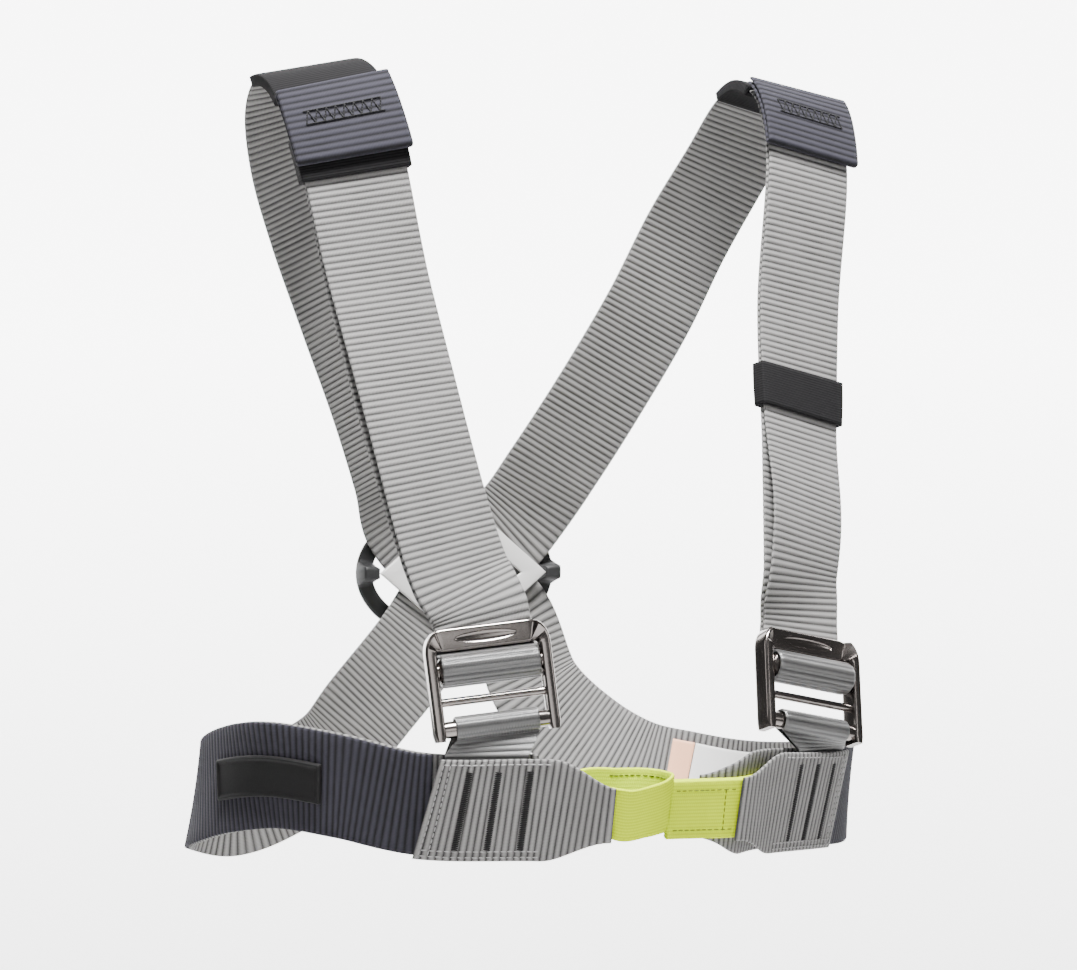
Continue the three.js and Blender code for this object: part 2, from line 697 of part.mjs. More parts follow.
function buckle(frame) {
  const outer = roundedShape(-BUCKLE_HALF, BUCKLE_HALF, -BUCKLE_BOTTOM, BUCKLE_TOP, BUCKLE_CORNER);
  const innerHalf = BUCKLE_HALF - BUCKLE_ARM;
  const innerTop = UPPER_ROLL + HALF_THICK + 2 * LAYER_GAP;
  const innerBottom = -LOWER_BAR_DROP - LOWER_BAR_RADIUS;
  outer.holes.push(roundedShape(-innerHalf, innerHalf, innerBottom, innerTop, INNER_CORNER));
  const depth = BUCKLE_BACK + BUCKLE_FRONT - 2 * BUCKLE_BEVEL;
  let body = solid(
    new THREE.ExtrudeGeometry(outer, {
      depth,
      bevelSize: 0,
      bevelThickness: BUCKLE_BEVEL,
      bevelSegments: 1,
      curveSegments: 5,
    }).translate(0, 0, BUCKLE_BEVEL - BUCKLE_BACK),
  );
  const bars = [
    { drop: 0, radius: UPPER_BAR_RADIUS },
    { drop: MIDDLE_BAR_DROP, radius: MIDDLE_BAR_RADIUS },
    { drop: LOWER_BAR_DROP, radius: LOWER_BAR_RADIUS },
  ];
  for (const bar of bars) {
    const rod = new THREE.CylinderGeometry(bar.radius, bar.radius, 2 * innerHalf + BUCKLE_ARM, BAR_SIDES);
    body = body.add(solid(rod.rotateZ(Math.PI / 2).translate(0, -bar.drop, 0)));
  }
  const cut = (bottom, top, back, face) => {
    const box = new THREE.BoxGeometry(2 * innerHalf, top - bottom, face - back);
    body = body.subtract(solid(box.translate(0, (top + bottom) / 2, (face + back) / 2)));
  };
  // The strap and its tail run behind the top plate, so the frame is cut away behind it, and the plate is thinned
  const tailFace = -UPPER_ROLL + LAYER + HALF_THICK + LAYER_GAP;
  const plateFace = tailFace + PLATE_THICK;
  cut(innerTop - PAST, BUCKLE_TOP + PAST, -BUCKLE_BACK - PAST, tailFace);
  cut(innerTop - PAST, BUCKLE_TOP + PAST, plateFace, BUCKLE_FRONT + PAST);
  // The lower bar closes the frame, so there is no rail below it
  cut(-2 * BUCKLE_BOTTOM, innerBottom, -2 * BUCKLE_BACK, 2 * BUCKLE_FRONT);
  const recess = new THREE.ExtrudeGeometry(lensShape(RECESS_WIDTH, RECESS_HEIGHT), {
    depth: RECESS_DEPTH + PAST,
    bevelEnabled: false,
    curveSegments: 6,
  });
  recess.translate(0, (BUCKLE_TOP + innerTop) / 2, plateFace - RECESS_DEPTH);
  body = body.subtract(solid(recess));
  const geometry = geometryOf(body);
  const sign = Math.sign(new THREE.Vector3().crossVectors(frame.edge, frame.up).dot(frame.out));
  const place = new THREE.Matrix4().makeBasis(frame.edge.clone().multiplyScalar(sign), frame.up, frame.out);
  place.setPosition(frame.at);
  return geometry.applyMatrix4(place);
}

function roundedShape(left, right, bottom, top, radius) {
  const shape = new THREE.Shape();
  shape.moveTo(left + radius, bottom);
  shape.lineTo(right - radius, bottom);
  shape.absarc(right - radius, bottom + radius, radius, -Math.PI / 2, 0);
  shape.lineTo(right, top - radius);
  shape.absarc(right - radius, top - radius, radius, 0, Math.PI / 2);
  shape.lineTo(left + radius, top);
  shape.absarc(left + radius, top - radius, radius, Math.PI / 2, Math.PI);
  shape.lineTo(left, bottom + radius);
  shape.absarc(left + radius, bottom + radius, radius, Math.PI, 1.5 * Math.PI);
  return shape;
}

function lensShape(width, height) {
  const shape = new THREE.Shape();
  shape.moveTo(-width / 2, 0);
  shape.quadraticCurveTo(0, -height, width / 2, 0);
  shape.quadraticCurveTo(0, height, -width / 2, 0);
  return shape;
}

// Webbing that runs from between the band and its patch up behind the lower bar, round it and back
function link(frame, band, middle) {
  const halfLink = LINK_WIDTH / 2;
  const shares = stationsOf(band, middle - halfLink, middle + halfLink).map((d) => (d - middle) / halfLink);
  const outward = Math.sign(band.frame(middle).along.dot(frame.edge));
  const wideRing = (spot) => [
    ...shares.map((share) => spot(share, -1)),
    ...shares.toReversed().map((share) => spot(share, 1)),
  ];
  const onBand = (lift, shift, turned) =>
    wideRing((share, face) => {
      const place = band.frame(middle + share * halfLink);
      return moved(place, lift + (turned * face * LINK_THICK) / 2, shift).at;
    });
  const onBar = (degrees) =>
    wideRing((share, face) => {
      const angle = THREE.MathUtils.degToRad(degrees);
      const radius = LOWER_ROLL - (face * LINK_THICK) / 2;
      const up = radius * Math.sin(angle) - LOWER_BAR_DROP;
      return inBuckle(frame, radius * Math.cos(angle), up, outward * share * halfLink);
    });
  const low = LINK_HIDDEN - HALF_WEB;
  const high = -HALF_WEB - LINK_CLEAR;
  return loft([
    onBand(LAYER, low, 1),
    onBand(LAYER, 0, 1),
    onBand(LAYER, high, 1),
    ...spaced(LINK_ENTERS, LINK_LEAVES, LINK_TURN).map(onBar),
    onBand(2 * LAYER, high, -1),
    onBand(2 * LAYER, 0, -1),
    onBand(2 * LAYER, low, -1),
  ]);
}

// Tie-in loop sewn flat, doubled on itself past the end of its patch
function flatLoop(band, side) {
  const from = side.patchFrom + LOOP_HIDDEN;
  const to = side.patchFrom - FLAT_LOOP_REACH;
  return foldedStrip(band, from, to, 2 * LAYER, LAYER, LOOP_WIDTH / 2, LOOP_THICK);
}

// Rounded tie-in loop, open in the middle, with both ends held between band and patch
function openLoop(band, side) {
  const spots = OPEN_LOOP_ROWS.map((row) => {
    const value = Object.fromEntries(OPEN_LOOP_COLUMNS.map((name, i) => [name, row[i]]));
    const at = sectionOf(row, OPEN_LOOP_COLUMNS, side.sign).at;
    return { at, edge: new THREE.Vector3(0, value.lean, -1) };
  });
  const front = (d) => ({ at: moved(band.frame(d), LAYER).at, edge: band.frame(d).edge });
  const back = (d) => ({ at: band.frame(d).at, edge: band.frame(d).edge });
  const places = [
    front(LOOP_HIDDEN),
    front(LOOP_HIDDEN / 2),
    front(0),
    ...spots,
    back(side.webFrom - STEP),
    back(side.webFrom - LAYER_GAP),
  ];
  const path = makeRoute(places, 1, LOOP_STEP);
  return strip(path, 0, path.length, 0, { halfWidth: LOOP_WIDTH / 2, thick: LOOP_THICK });
}

export default part;
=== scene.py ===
# Climbing chest harness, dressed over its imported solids. Metres in Blender, millimetres in the tables.
import math

import bmesh
import bpy
import numpy as np
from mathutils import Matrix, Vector


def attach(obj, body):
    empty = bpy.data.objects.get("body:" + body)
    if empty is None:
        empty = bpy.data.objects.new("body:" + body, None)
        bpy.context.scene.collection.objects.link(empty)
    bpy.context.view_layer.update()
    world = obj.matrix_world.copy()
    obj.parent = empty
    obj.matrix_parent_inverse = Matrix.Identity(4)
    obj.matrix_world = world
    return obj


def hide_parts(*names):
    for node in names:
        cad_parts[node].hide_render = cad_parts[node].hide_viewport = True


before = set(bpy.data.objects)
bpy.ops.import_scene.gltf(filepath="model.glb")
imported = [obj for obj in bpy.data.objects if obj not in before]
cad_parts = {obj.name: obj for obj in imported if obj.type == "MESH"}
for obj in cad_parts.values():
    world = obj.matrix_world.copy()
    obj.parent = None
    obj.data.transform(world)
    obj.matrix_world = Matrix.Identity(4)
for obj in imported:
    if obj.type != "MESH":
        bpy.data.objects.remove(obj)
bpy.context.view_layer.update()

# Shoulder webbing. One length of woven nylon a side, 44 mm wide, with a heavy cord rib across it. It comes
# from under the other side's front patch, runs round the side to the back ring, crosses to this shoulder,
# goes down behind the buckle, round its upper bar and back up as the loose tail.
MM = 0.001
HALF_BREADTH = 150
DEPTH = 200
DROP = 300
HALF_WEB = 22
WEB_THICK = 1.6
GAP = 0.3
LAYER = WEB_THICK + GAP
CROSSING_LIFT = 1.3
CURVE_STEPS = 60
SHOULDER = {
    "left": [
        (0.18, 0.385, 0.627, 0.87, 0, -0.5),
        (0.28, 0.33, 0.543, 0.87, 0, -0.5),
        (0.387, 0.275, 0.443, 0.89, 0, -0.45),
        (0.513, 0.215, 0.317, 0.91, 0, -0.41),
        (0.613, 0.17, 0.2, 0.89, 0.05, -0.45),
        (0.687, 0.1, 0.107, 0.9, 0.1, -0.4),
        (0.733, 0.025, 0.033, 0.95, 0.1, -0.3),
        (0.747, -0.05, 0.007, 0.98, 0.1, -0.2),
        (0.747, -0.125, 0.02, 0.98, 0.13, -0.12),
        (0.727, -0.2, 0.103, 0.97, 0.15, -0.16),
        (0.663, -0.245, 0.32, 0.98, 0.18, -0.07),
        (0.603, -0.325, 0.527, 0.95, 0.3, -0.06),
        (0.55, -0.39, 0.69, 0.92, 0.35, -0.1),
    ],
    "right": [
        (0.165, 0.385, 0.627, 0.87, 0, -0.5),
        (0.25, 0.33, 0.543, 0.87, 0, -0.5),
        (0.35, 0.275, 0.443, 0.89, 0, -0.45),
        (0.485, 0.215, 0.317, 0.91, 0, -0.41),
        (0.6, 0.17, 0.2, 0.89, 0.05, -0.45),
        (0.695, 0.1, 0.107, 0.9, 0.1, -0.4),
        (0.75, 0.025, 0.033, 0.95, 0.1, -0.3),
        (0.76, -0.05, 0.003, 0.98, 0.1, -0.2),
        (0.75, -0.125, 0.02, 0.98, 0.13, -0.12),
        (0.72, -0.2, 0.11, 0.97, 0.15, -0.16),
        (0.655, -0.25, 0.32, 1, 0.04, -0.07),
        (0.59, -0.33, 0.527, 1, 0, -0.05),
        (0.52, -0.405, 0.69, 1, 0.05, -0.08),
    ],
}
BAND = {
    "right": [
        (0.16, -0.57, 1.01, 0.05, 0.6, -0.8),
        (0.327, -0.508, 1.003, 0.05, 0.35, -0.93),
        (0.623, -0.395, 1, 0.07, 0.4, -0.91),
        (0.803, -0.29, 0.977, -0.05, 0.28, -0.95),
        (0.913, -0.15, 0.967, -0.1, 0.15, -0.98),
        (0.96, 0, 0.98, 0.05, 0.05, -0.98),
        (0.955, 0.15, 1.003, 0.1, 0.08, -0.98),
        (0.885, 0.26, 1.02, 0.1, 0.2, -0.96),
        (0.747, 0.33, 1.033, 0.05, 0, -1),
        (0.587, 0.35, 1.007, -0.3, -0.05, -0.95),
        (0.423, 0.37, 0.967, -0.65, 0, -0.75),
        (0.317, 0.38, 0.909, -0.748, 0, -0.664),
        (0.133, 0.385, 0.805, -0.748, 0, -0.664),
    ],
    "left": [
        (0.113, -0.545, 1.01, 0.05, 0.25, -0.97),
        (0.21, -0.553, 1.01, 0.05, 0.25, -0.97),
        (0.347, -0.5, 1.007, 0.05, 0.3, -0.95),
        (0.623, -0.395, 1.01, 0.07, 0.4, -0.91),
        (0.795, -0.27, 1.013, 0, 0.2, -0.98),
        (0.885, -0.145, 1.013, 0.05, 0.1, -0.99),
        (0.93, -0.025, 1.02, 0.05, 0, -0.99),
        (0.907, 0.09, 1.03, 0.05, 0, -1),
        (0.813, 0.2, 1.03, 0, 0, -1),
        (0.68, 0.26, 1.017, -0.1, -0.1, -0.99),
        (0.533, 0.3, 0.997, -0.3, -0.1, -0.95),
        (0.4, 0.35, 0.953, -0.67, 0, -0.74),
        (0.26, 0.38, 0.882, -0.82, 0, -0.57),
        (0.163, 0.385, 0.772, -0.92, 0, -0.39),
    ],
}
CROWN_ROW = 8
CROSSING = (0, 0.385, 0.71, 0.8, 0, -0.6)
BUCKLE_AT = {
    "left": ((0.53, -0.465, 0.834), (0.975, 0.14, -0.15), (0.13, 0.3, 0.945)),
    "right": ((0.477, -0.485, 0.815), (0.96, 0.27, -0.09), (0.09, 0.1, 0.99)),
}
SIGN = {"left": 1, "right": -1}
OTHER = {"left": "right", "right": "left"}
HALF_CUPPED = 20
CUP_RUN = 16
UPPER_BAR = 5
UPPER_ROLL = UPPER_BAR + GAP + WEB_THICK / 2
BUCKLE_TOP = 17
TOP_RUN = 4
TAPER_END = 13.5
TAPER_LENGTH = 27
WEB_FROM = {"left": 0, "right": 31}
TAB_BELOW_CROWN = {"left": 14, "right": 23}
KEEPER_SHARE = {"left": 0.54, "right": 0}
TAB_HEIGHT = 30
TAB_SEAM = 4
TAIL_BOW = 4
KEEPER_UNDER_TAB = 11
KEEPER_LENGTH = 19
ROLL_ENTERS = 180
ROLL_LEAVES = 450
RIB_PITCH = 2.7
RIB_STEPS = 6
RIB_HEIGHT = 0.3
RIB_POINTS = 4
SELVEDGE_SLOPE = 14
SELVEDGE_LEAST = 0.3
LEAST_HALF_THICK = 0.1


def unit(v):
    return v / np.linalg.norm(v, axis=-1, keepdims=True)


def smoothstep(x, low, high):
    t = np.clip((x - low) / (high - low), 0, 1)
    return t * t * (3 - 2 * t)


def place(share, sign):
    return np.array([sign * share[0] * HALF_BREADTH, share[1] * DEPTH, -share[2] * DROP])


def section(row, sign):
    return place(row[:3], sign), np.array([sign * row[3], row[4], row[5]])


def smooth_line(points):
    """Points and slopes of a centripetal curve through points."""
    p = np.array(points, float)
    p = np.vstack([2 * p[0] - p[1], p, 2 * p[-1] - p[-2]])
    line, slopes = [], []
    w = (np.arange(CURVE_STEPS) / CURVE_STEPS)[:, None]
    for i in range(1, len(p) - 2):
        p0, p1, p2, p3 = p[i - 1 : i + 3]
        g0, g1, g2 = (np.linalg.norm(b - a) ** 0.5 for a, b in ((p0, p1), (p1, p2), (p2, p3)))
        g1 = g1 if g1 > 1e-4 else 1
        g0 = g0 if g0 > 1e-4 else g1
        g2 = g2 if g2 > 1e-4 else g1
        s1 = ((p1 - p0) / g0 - (p2 - p0) / (g0 + g1) + (p2 - p1) / g1) * g1
        s2 = ((p2 - p1) / g1 - (p3 - p1) / (g1 + g2) + (p3 - p2) / g2) * g1
        c2 = -3 * p1 + 3 * p2 - 2 * s1 - s2
        c3 = 2 * p1 - 2 * p2 + s1 + s2
        line.append(p1 + s1 * w + c2 * w**2 + c3 * w**3)
        slopes.append(s1 + 2 * c2 * w + 3 * c3 * w**2)
    line.append(p[-2][None])
    slopes.append(slopes[-1][-1:])
    return np.vstack(line), np.vstack(slopes)


class Route:
    """The line that cloth follows, with the direction of its outer edge and of its outer face."""

    def __init__(self, sections, sign):
        self.at, slope = smooth_line([s[0] for s in sections])
        self.along = unit(slope)
        edge, _ = smooth_line([s[1] for s in sections])
        edge -= self.along * np.sum(edge * self.along, axis=1, keepdims=True)
        self.edge = unit(edge)
        self.out = np.cross(self.along, self.edge) * sign
        steps = np.linalg.norm(np.diff(self.at, axis=0), axis=1)
        self.lengths = np.concatenate([[0], np.cumsum(steps)])
        self.length = self.lengths[-1]

    def mark(self, row):
        return self.lengths[row * CURVE_STEPS]

    def frame(self, d):
        d = np.atleast_1d(np.asarray(d, float))
        inside = np.clip(d, 0, self.length)

        def mix(values):
            return np.stack([np.interp(inside, self.lengths, values[:, k]) for k in range(3)], axis=1)

        along, edge, out = mix(self.along), mix(self.edge), mix(self.out)
        return mix(self.at) + along * (d - inside)[:, None], unit(along), unit(edge), unit(out)

    def spot(self, d, shift, lift):
        at, _, edge, out = self.frame(d)
        return at + edge * np.reshape(shift, (-1, 1)) + out * np.reshape(lift, (-1, 1))


def buckle_frame(side):
    """Origin on the upper bar, then the directions of the outer end, the top and the front."""
    at, edge, up = BUCKLE_AT[side]
    sign = SIGN[side]
    up = unit(np.array([sign * up[0], up[1], up[2]]))
    edge = np.array([sign * edge[0], edge[1], edge[2]])
    edge = unit(edge - up * edge.dot(up))
    return place(at, sign), edge, up, np.cross(up, edge) * -sign


def in_buckle(side, out, up):
    at, _, up_way, out_way = buckle_frame(side)
    return at + out_way * out + up_way * up


def shoulder_route(side):
    sign, other = SIGN[side], OTHER[side]
    lower = [section(row, SIGN[other]) for row in BAND[other]]
    upper = [section(row, sign) for row in SHOULDER[side]]
    crossing = section(CROSSING, sign)
    for at, _ in (lower[-1], crossing, upper[0]):
        at[1] -= sign * CROSSING_LIFT
    edge = buckle_frame(side)[1]
    ends = [(in_buckle(side, -UPPER_ROLL, up), edge) for up in (BUCKLE_TOP + TOP_RUN, GAP)]
    route = Route([*lower, crossing, *upper, *ends], sign)
    route.ring_at = route.mark(len(lower))
    route.crown_at = route.mark(len(lower) + CROWN_ROW)
    route.buckle_at = route.mark(len(lower) + len(upper) + 1)
    return route


ROUTE = {side: shoulder_route(side) for side in SIGN}


def cloth_rows(route, start, stop, lift=0.0, half=HALF_WEB, back=False):
    """Sections of cloth on a route, a millimetre apart: place, edge, face and half width."""
    d = np.linspace(start, stop, max(2, int(abs(stop - start)) + 1))
    at, _, edge, out = route.frame(d)
    lift = np.asarray(lift(d) if callable(lift) else np.full(len(d), lift))[:, None]
    half = half(d) if callable(half) else np.full(len(d), float(half))
    face = -out if back else out
    return np.hstack([at + out * lift, edge, face, np.asarray(half)[:, None]])


def in_scene(name, data):
    piece = bpy.data.objects.new(name, data)
    bpy.context.scene.collection.objects.link(piece)
    return piece


def mesh_object(name, points, faces, finish, uv=None):
    """A closed piece in the row frame from points in millimetres."""
    mesh = bpy.data.meshes.new(name)
    mesh.from_pydata((np.asarray(points) * MM).tolist(), [], faces)
    if uv is not None:
        layer = mesh.uv_layers.new(name="cloth")
        vertex = np.empty(len(mesh.loops), dtype=np.int32)
        mesh.loops.foreach_get("vertex_index", vertex)
        layer.data.foreach_set("uv", np.asarray(uv)[vertex].astype(np.float32).ravel())
    bm = bmesh.new()
    bm.from_mesh(mesh)
    bmesh.ops.recalc_face_normals(bm, faces=bm.faces)
    bm.to_mesh(mesh)
    bm.free()
    mesh.polygons.foreach_set("use_smooth", [True] * len(mesh.polygons))
    mesh.materials.append(finish)
    return in_scene(name, mesh)


def keep(piece, slot, *nodes):
    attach(piece, "root")
    if nodes:
        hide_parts(*nodes)
    return piece


SELVEDGE = [
    (-1, 0.3), (-0.985, 0.75), (-0.955, 1), (-0.8, 1), (-0.45, 1), (0, 1),
    (0.45, 1), (0.8, 1), (0.955, 1), (0.985, 0.75), (1, 0.3),
]


def webbing(
    name, rows, finish, thick=WEB_THICK, pitch=RIB_PITCH, rib=RIB_HEIGHT,
    lengthwise=0, skew=None, shaded=None,
):
    """Woven strap along rows of sections, with ribs across it or, where lengthwise gives a number, along it.

    skew gives shares of the run and how far the upper edge leans ahead there, the lower edge as far back.
    The last argument gives the first and last row bent hard round a bar and their darker finish, coloured as
    painted shade.
    """
    steps = np.linalg.norm(np.diff(rows[:, :3], axis=0), axis=1)
    run = np.concatenate([[0], np.cumsum(steps)])
    count = max(2, round(run[-1] / pitch * RIB_STEPS))
    v = np.linspace(0, run[-1], count + 1)
    fine = np.stack([np.interp(v, run, rows[:, k]) for k in range(10)], axis=1)
    at, edge, out, half = fine[:, :3], unit(fine[:, 3:6]), unit(fine[:, 6:9]), fine[:, 9]
    if lengthwise:
        s = np.linspace(-1, 1, lengthwise * RIB_POINTS + 1)
        full = np.clip((1 - np.abs(s)) * SELVEDGE_SLOPE + SELVEDGE_LEAST, 0, 1)
        dip = rib * (np.abs(np.sin(math.pi * (s + 1) / 2 * lengthwise)) - 1)
        swell = np.tile(dip, (len(v), 1))
    else:
        s, full = np.array([a for a, _ in SELVEDGE]), np.array([b for _, b in SELVEDGE])
        dip = rib * (np.abs(np.sin(math.pi * v / pitch)) - 1)
        swell = np.tile(dip[:, None], (1, len(s)))
    tall = np.maximum(thick / 2 * full[None] + swell * full[None], LEAST_HALF_THICK)
    base = at[:, None] + edge[:, None] * (half[:, None] * s[None])[..., None]
    if skew is not None:
        ahead = unit(np.gradient(at, axis=0))
        lean = np.interp(v / run[-1], *skew)
        base = base + ahead[:, None] * (lean[:, None] * s[None])[..., None]
    top = base + out[:, None] * tall[..., None]
    bottom = base - out[:, None] * tall[..., None]
    m, n = len(s), len(v)
    ring = np.concatenate([top, bottom[:, ::-1]], axis=1)
    uv = np.empty((n, 2 * m, 2))
    across = half[:, None] * s[None]
    uv[..., 0] = np.concatenate([across, across[:, ::-1]], axis=1)
    uv[..., 1] = v[:, None]
    size = 2 * m
    faces = []
    for i in range(n - 1):
        a, b = i * size, (i + 1) * size
        faces += [(a + j, a + (j + 1) % size, b + (j + 1) % size, b + j) for j in range(size)]
    for base_index in (0, (n - 1) * size):
        faces += [
            (base_index + j, base_index + j + 1, base_index + size - 2 - j, base_index + size - 1 - j)
            for j in range(m - 1)
        ]
    strap = mesh_object(name, ring.reshape(-1, 3), faces, finish, uv.reshape(-1, 2))
    # Rows bent round a bar take the second finish, whose dark colour is painted shade.
    if shaded is not None:
        first, last, shaded_finish = shaded
        strap.data.materials.append(shaded_finish)
        bent = (v[:-1] > run[first]) & (v[1:] < run[last])
        which = np.zeros(len(faces), dtype=np.int32)
        which[: (n - 1) * size] = np.repeat(bent, size)
        strap.data.polygons.foreach_set("material_index", which)
    return strap


class Shade:
    """A value in a material; arithmetic on it adds the Math nodes."""

    def __init__(self, finish, socket):
        self.finish, self.socket = finish, socket

    def math(self, operation, *others):
        values = {i: v for i, v in enumerate((self, *others))}
        return self.finish.node("ShaderNodeMath", {"operation": operation}, values)

    def __add__(self, other):
        return self.math("ADD", other)

    def __mul__(self, other):
        return self.math("MULTIPLY", other)

    def __sub__(self, other):
        return self.math("SUBTRACT", other)

    def __truediv__(self, other):
        return self.math("DIVIDE", other)

    def __rsub__(self, other):
        return self.finish.node("ShaderNodeMath", {"operation": "SUBTRACT"}, {0: other, 1: self})

    __radd__ = __add__
    __rmul__ = __mul__


class Finish:
    """One material: its nodes come from node(), and done() sets its surface."""

    def __init__(self, name):
        self.material = bpy.data.materials.new(name)
        self.material.use_nodes = True
        self.tree = self.material.node_tree
        self.surface = self.tree.nodes["Principled BSDF"]

    def feed(self, socket, value):
        if isinstance(value, Shade):
            self.tree.links.new(value.socket, socket)
        else:
            socket.default_value = value

    def node(self, kind, settings, values, output=0):
        made = self.tree.nodes.new(kind)
        for name, value in settings.items():
            setattr(made, name, value)
        for key, value in values.items():
            self.feed(made.inputs[key], value)
        return Shade(self, made.outputs[output])

    def mix(self, factor, a, b):
        rgba = [(*c, 1) if isinstance(c, tuple) else c for c in (a, b)]
        return self.node("ShaderNodeMix", {"data_type": "RGBA"}, {0: factor, 6: rgba[0], 7: rgba[1]}, 2)

    def noise(self, scale, detail):
        where = self.node("ShaderNodeTexCoord", {}, {}, 3)
        return self.node("ShaderNodeTexNoise", {}, {"Vector": where, "Scale": scale, "Detail": detail})

    def cloth_place(self):
        """Millimetres across and along the piece's own cloth."""
        uv = self.node("ShaderNodeUVMap", {"uv_map": "cloth"}, {})
        across = self.node("ShaderNodeSeparateXYZ", {}, {"Vector": uv})
        return across, Shade(self, across.socket.node.outputs[1])

    def bump(self, height, distance, strength):
        values = {"Height": height, "Distance": distance, "Strength": strength}
        return self.node("ShaderNodeBump", {}, values)

    def done(self, **sockets):
        for name, value in sockets.items():
            value = (*value, 1) if isinstance(value, tuple) else value
            self.feed(self.surface.inputs[name.replace("_", " ")], value)
        return self.material


def woven(
    name, yarn, groove_shade, pitch, yarn_width=0.62, lengthwise=False, sheen=0.03, rough=0.78, shine=0.25
):
    """Ribbed nylon: cord rib, crossing yarns, fuzz and a little uneven dye; painted shade darkens the
    grooves.
    """
    look = Finish(name)
    across, along = look.cloth_place()
    ribs, yarns = (across, along) if lengthwise else (along, across)
    rib = (ribs * (math.pi / pitch)).math("SINE").math("ABSOLUTE")
    row = (ribs / pitch).math("FLOOR")
    cross = ((yarns * (math.pi / yarn_width)) + row * (math.pi / 2)).math("SINE").math("ABSOLUTE")
    fuzz = look.noise(2600, 4)
    dye = look.noise(70, 2)
    # Painted shade: the colour falls from the yarn colour on the crests to the dark groove colour between
    # ribs and yarns.
    light = rib * 0.85 + cross * 0.25 + fuzz * 0.3 - 0.34
    tone = look.mix(light.math("MINIMUM", 1.0).math("MAXIMUM", 0.0), groove_shade, yarn)
    worn = look.mix((dye - 0.35) * 0.5, tone, tuple(0.8 * c for c in yarn))
    height = cross * 0.7 + fuzz * 0.5 + rib * 0.6
    return look.done(
        Base_Color=worn,
        Roughness=rough + fuzz * 0.14,
        Normal=look.bump(height, 0.00012, 0.9),
        Sheen_Weight=sheen,
        Sheen_Roughness=0.45,
        Specular_IOR_Level=shine,
    )


GREY = woven("grey nylon webbing", (0.27, 0.264, 0.258), (0.018, 0.0177, 0.0174), RIB_PITCH)
# A darker copy of the grey webbing for the turn round the upper bar: its colour is painted shade inside the
# buckle, its low roughness gives the highlights.
SHADED_GREY = woven(
    "webbing pressed round a bar", (0.065, 0.064, 0.063), (0.002, 0.002, 0.002), RIB_PITCH,
    rough=0.26, shine=1.0,
)


def taper_half(d):
    return TAPER_END + (HALF_WEB - TAPER_END) * smoothstep(d, 0, TAPER_LENGTH)


def bent_row(side, out, up, face_out, face_up):
    _, edge, up_way, out_way = buckle_frame(side)
    return np.hstack([in_buckle(side, out, up), edge, out_way * face_out + up_way * face_up, HALF_CUPPED])


def keeper_from(side):
    first = ROUTE[side].crown_at + TAB_BELOW_CROWN[side] + TAB_HEIGHT - KEEPER_UNDER_TAB
    last = ROUTE[side].buckle_at - KEEPER_LENGTH
    return first + (last - first) * KEEPER_SHARE[side]


def tail_lift(side):
    start = keeper_from(side) + KEEPER_LENGTH
    end = ROUTE[side].buckle_at

    def lift(d):
        share = np.clip((d - start) / (end - start), 0, 1)
        return LAYER + TAIL_BOW * np.sin(math.pi * share) ** 2

    return lift


for side, route in ROUTE.items():

    def half_at(d, route=route):
        cupped = smoothstep(d, route.buckle_at - CUP_RUN, route.buckle_at)
        return np.minimum(taper_half(d), HALF_WEB + (HALF_CUPPED - HALF_WEB) * cupped)

    roll = [
        bent_row(side, UPPER_ROLL * math.cos(a), UPPER_ROLL * math.sin(a), -math.cos(a), -math.sin(a))
        for a in np.radians(np.linspace(ROLL_ENTERS, ROLL_LEAVES, 46))
    ]
    turn_radius = WEB_THICK / 2 + 2 * GAP
    turn = [
        bent_row(side, LAYER + turn_radius - UPPER_ROLL - turn_radius * math.sin(a),
                 UPPER_ROLL + turn_radius * (1 - math.cos(a)), -math.sin(a), -math.cos(a))
        for a in np.radians(np.linspace(0, 90, 8))
    ]
    tail_end = route.crown_at + TAB_BELOW_CROWN[side] + TAB_SEAM
    carried = cloth_rows(route, WEB_FROM[OTHER[side]], route.length, half=half_at)
    tail = cloth_rows(route, route.buckle_at, tail_end, tail_lift(side), half_at, back=True)
    # The rows round the upper bar take the darker copy of the grey, painted shade inside the buckle.
    bend = (len(carried), len(carried) + len(roll), SHADED_GREY)
    strap = webbing("shoulder_webbing_" + side, np.vstack([carried, roll, turn, tail]), GREY, shaded=bend)
    keep(strap, "grey_webbing", "shoulder_strap_" + side)

# Threads. Bonded polyester: running seams, dense bar-tacks and the zigzag that holds each tab. Each stitch
# is one short rounded bar on the cloth, set on its point and turned along its own way.


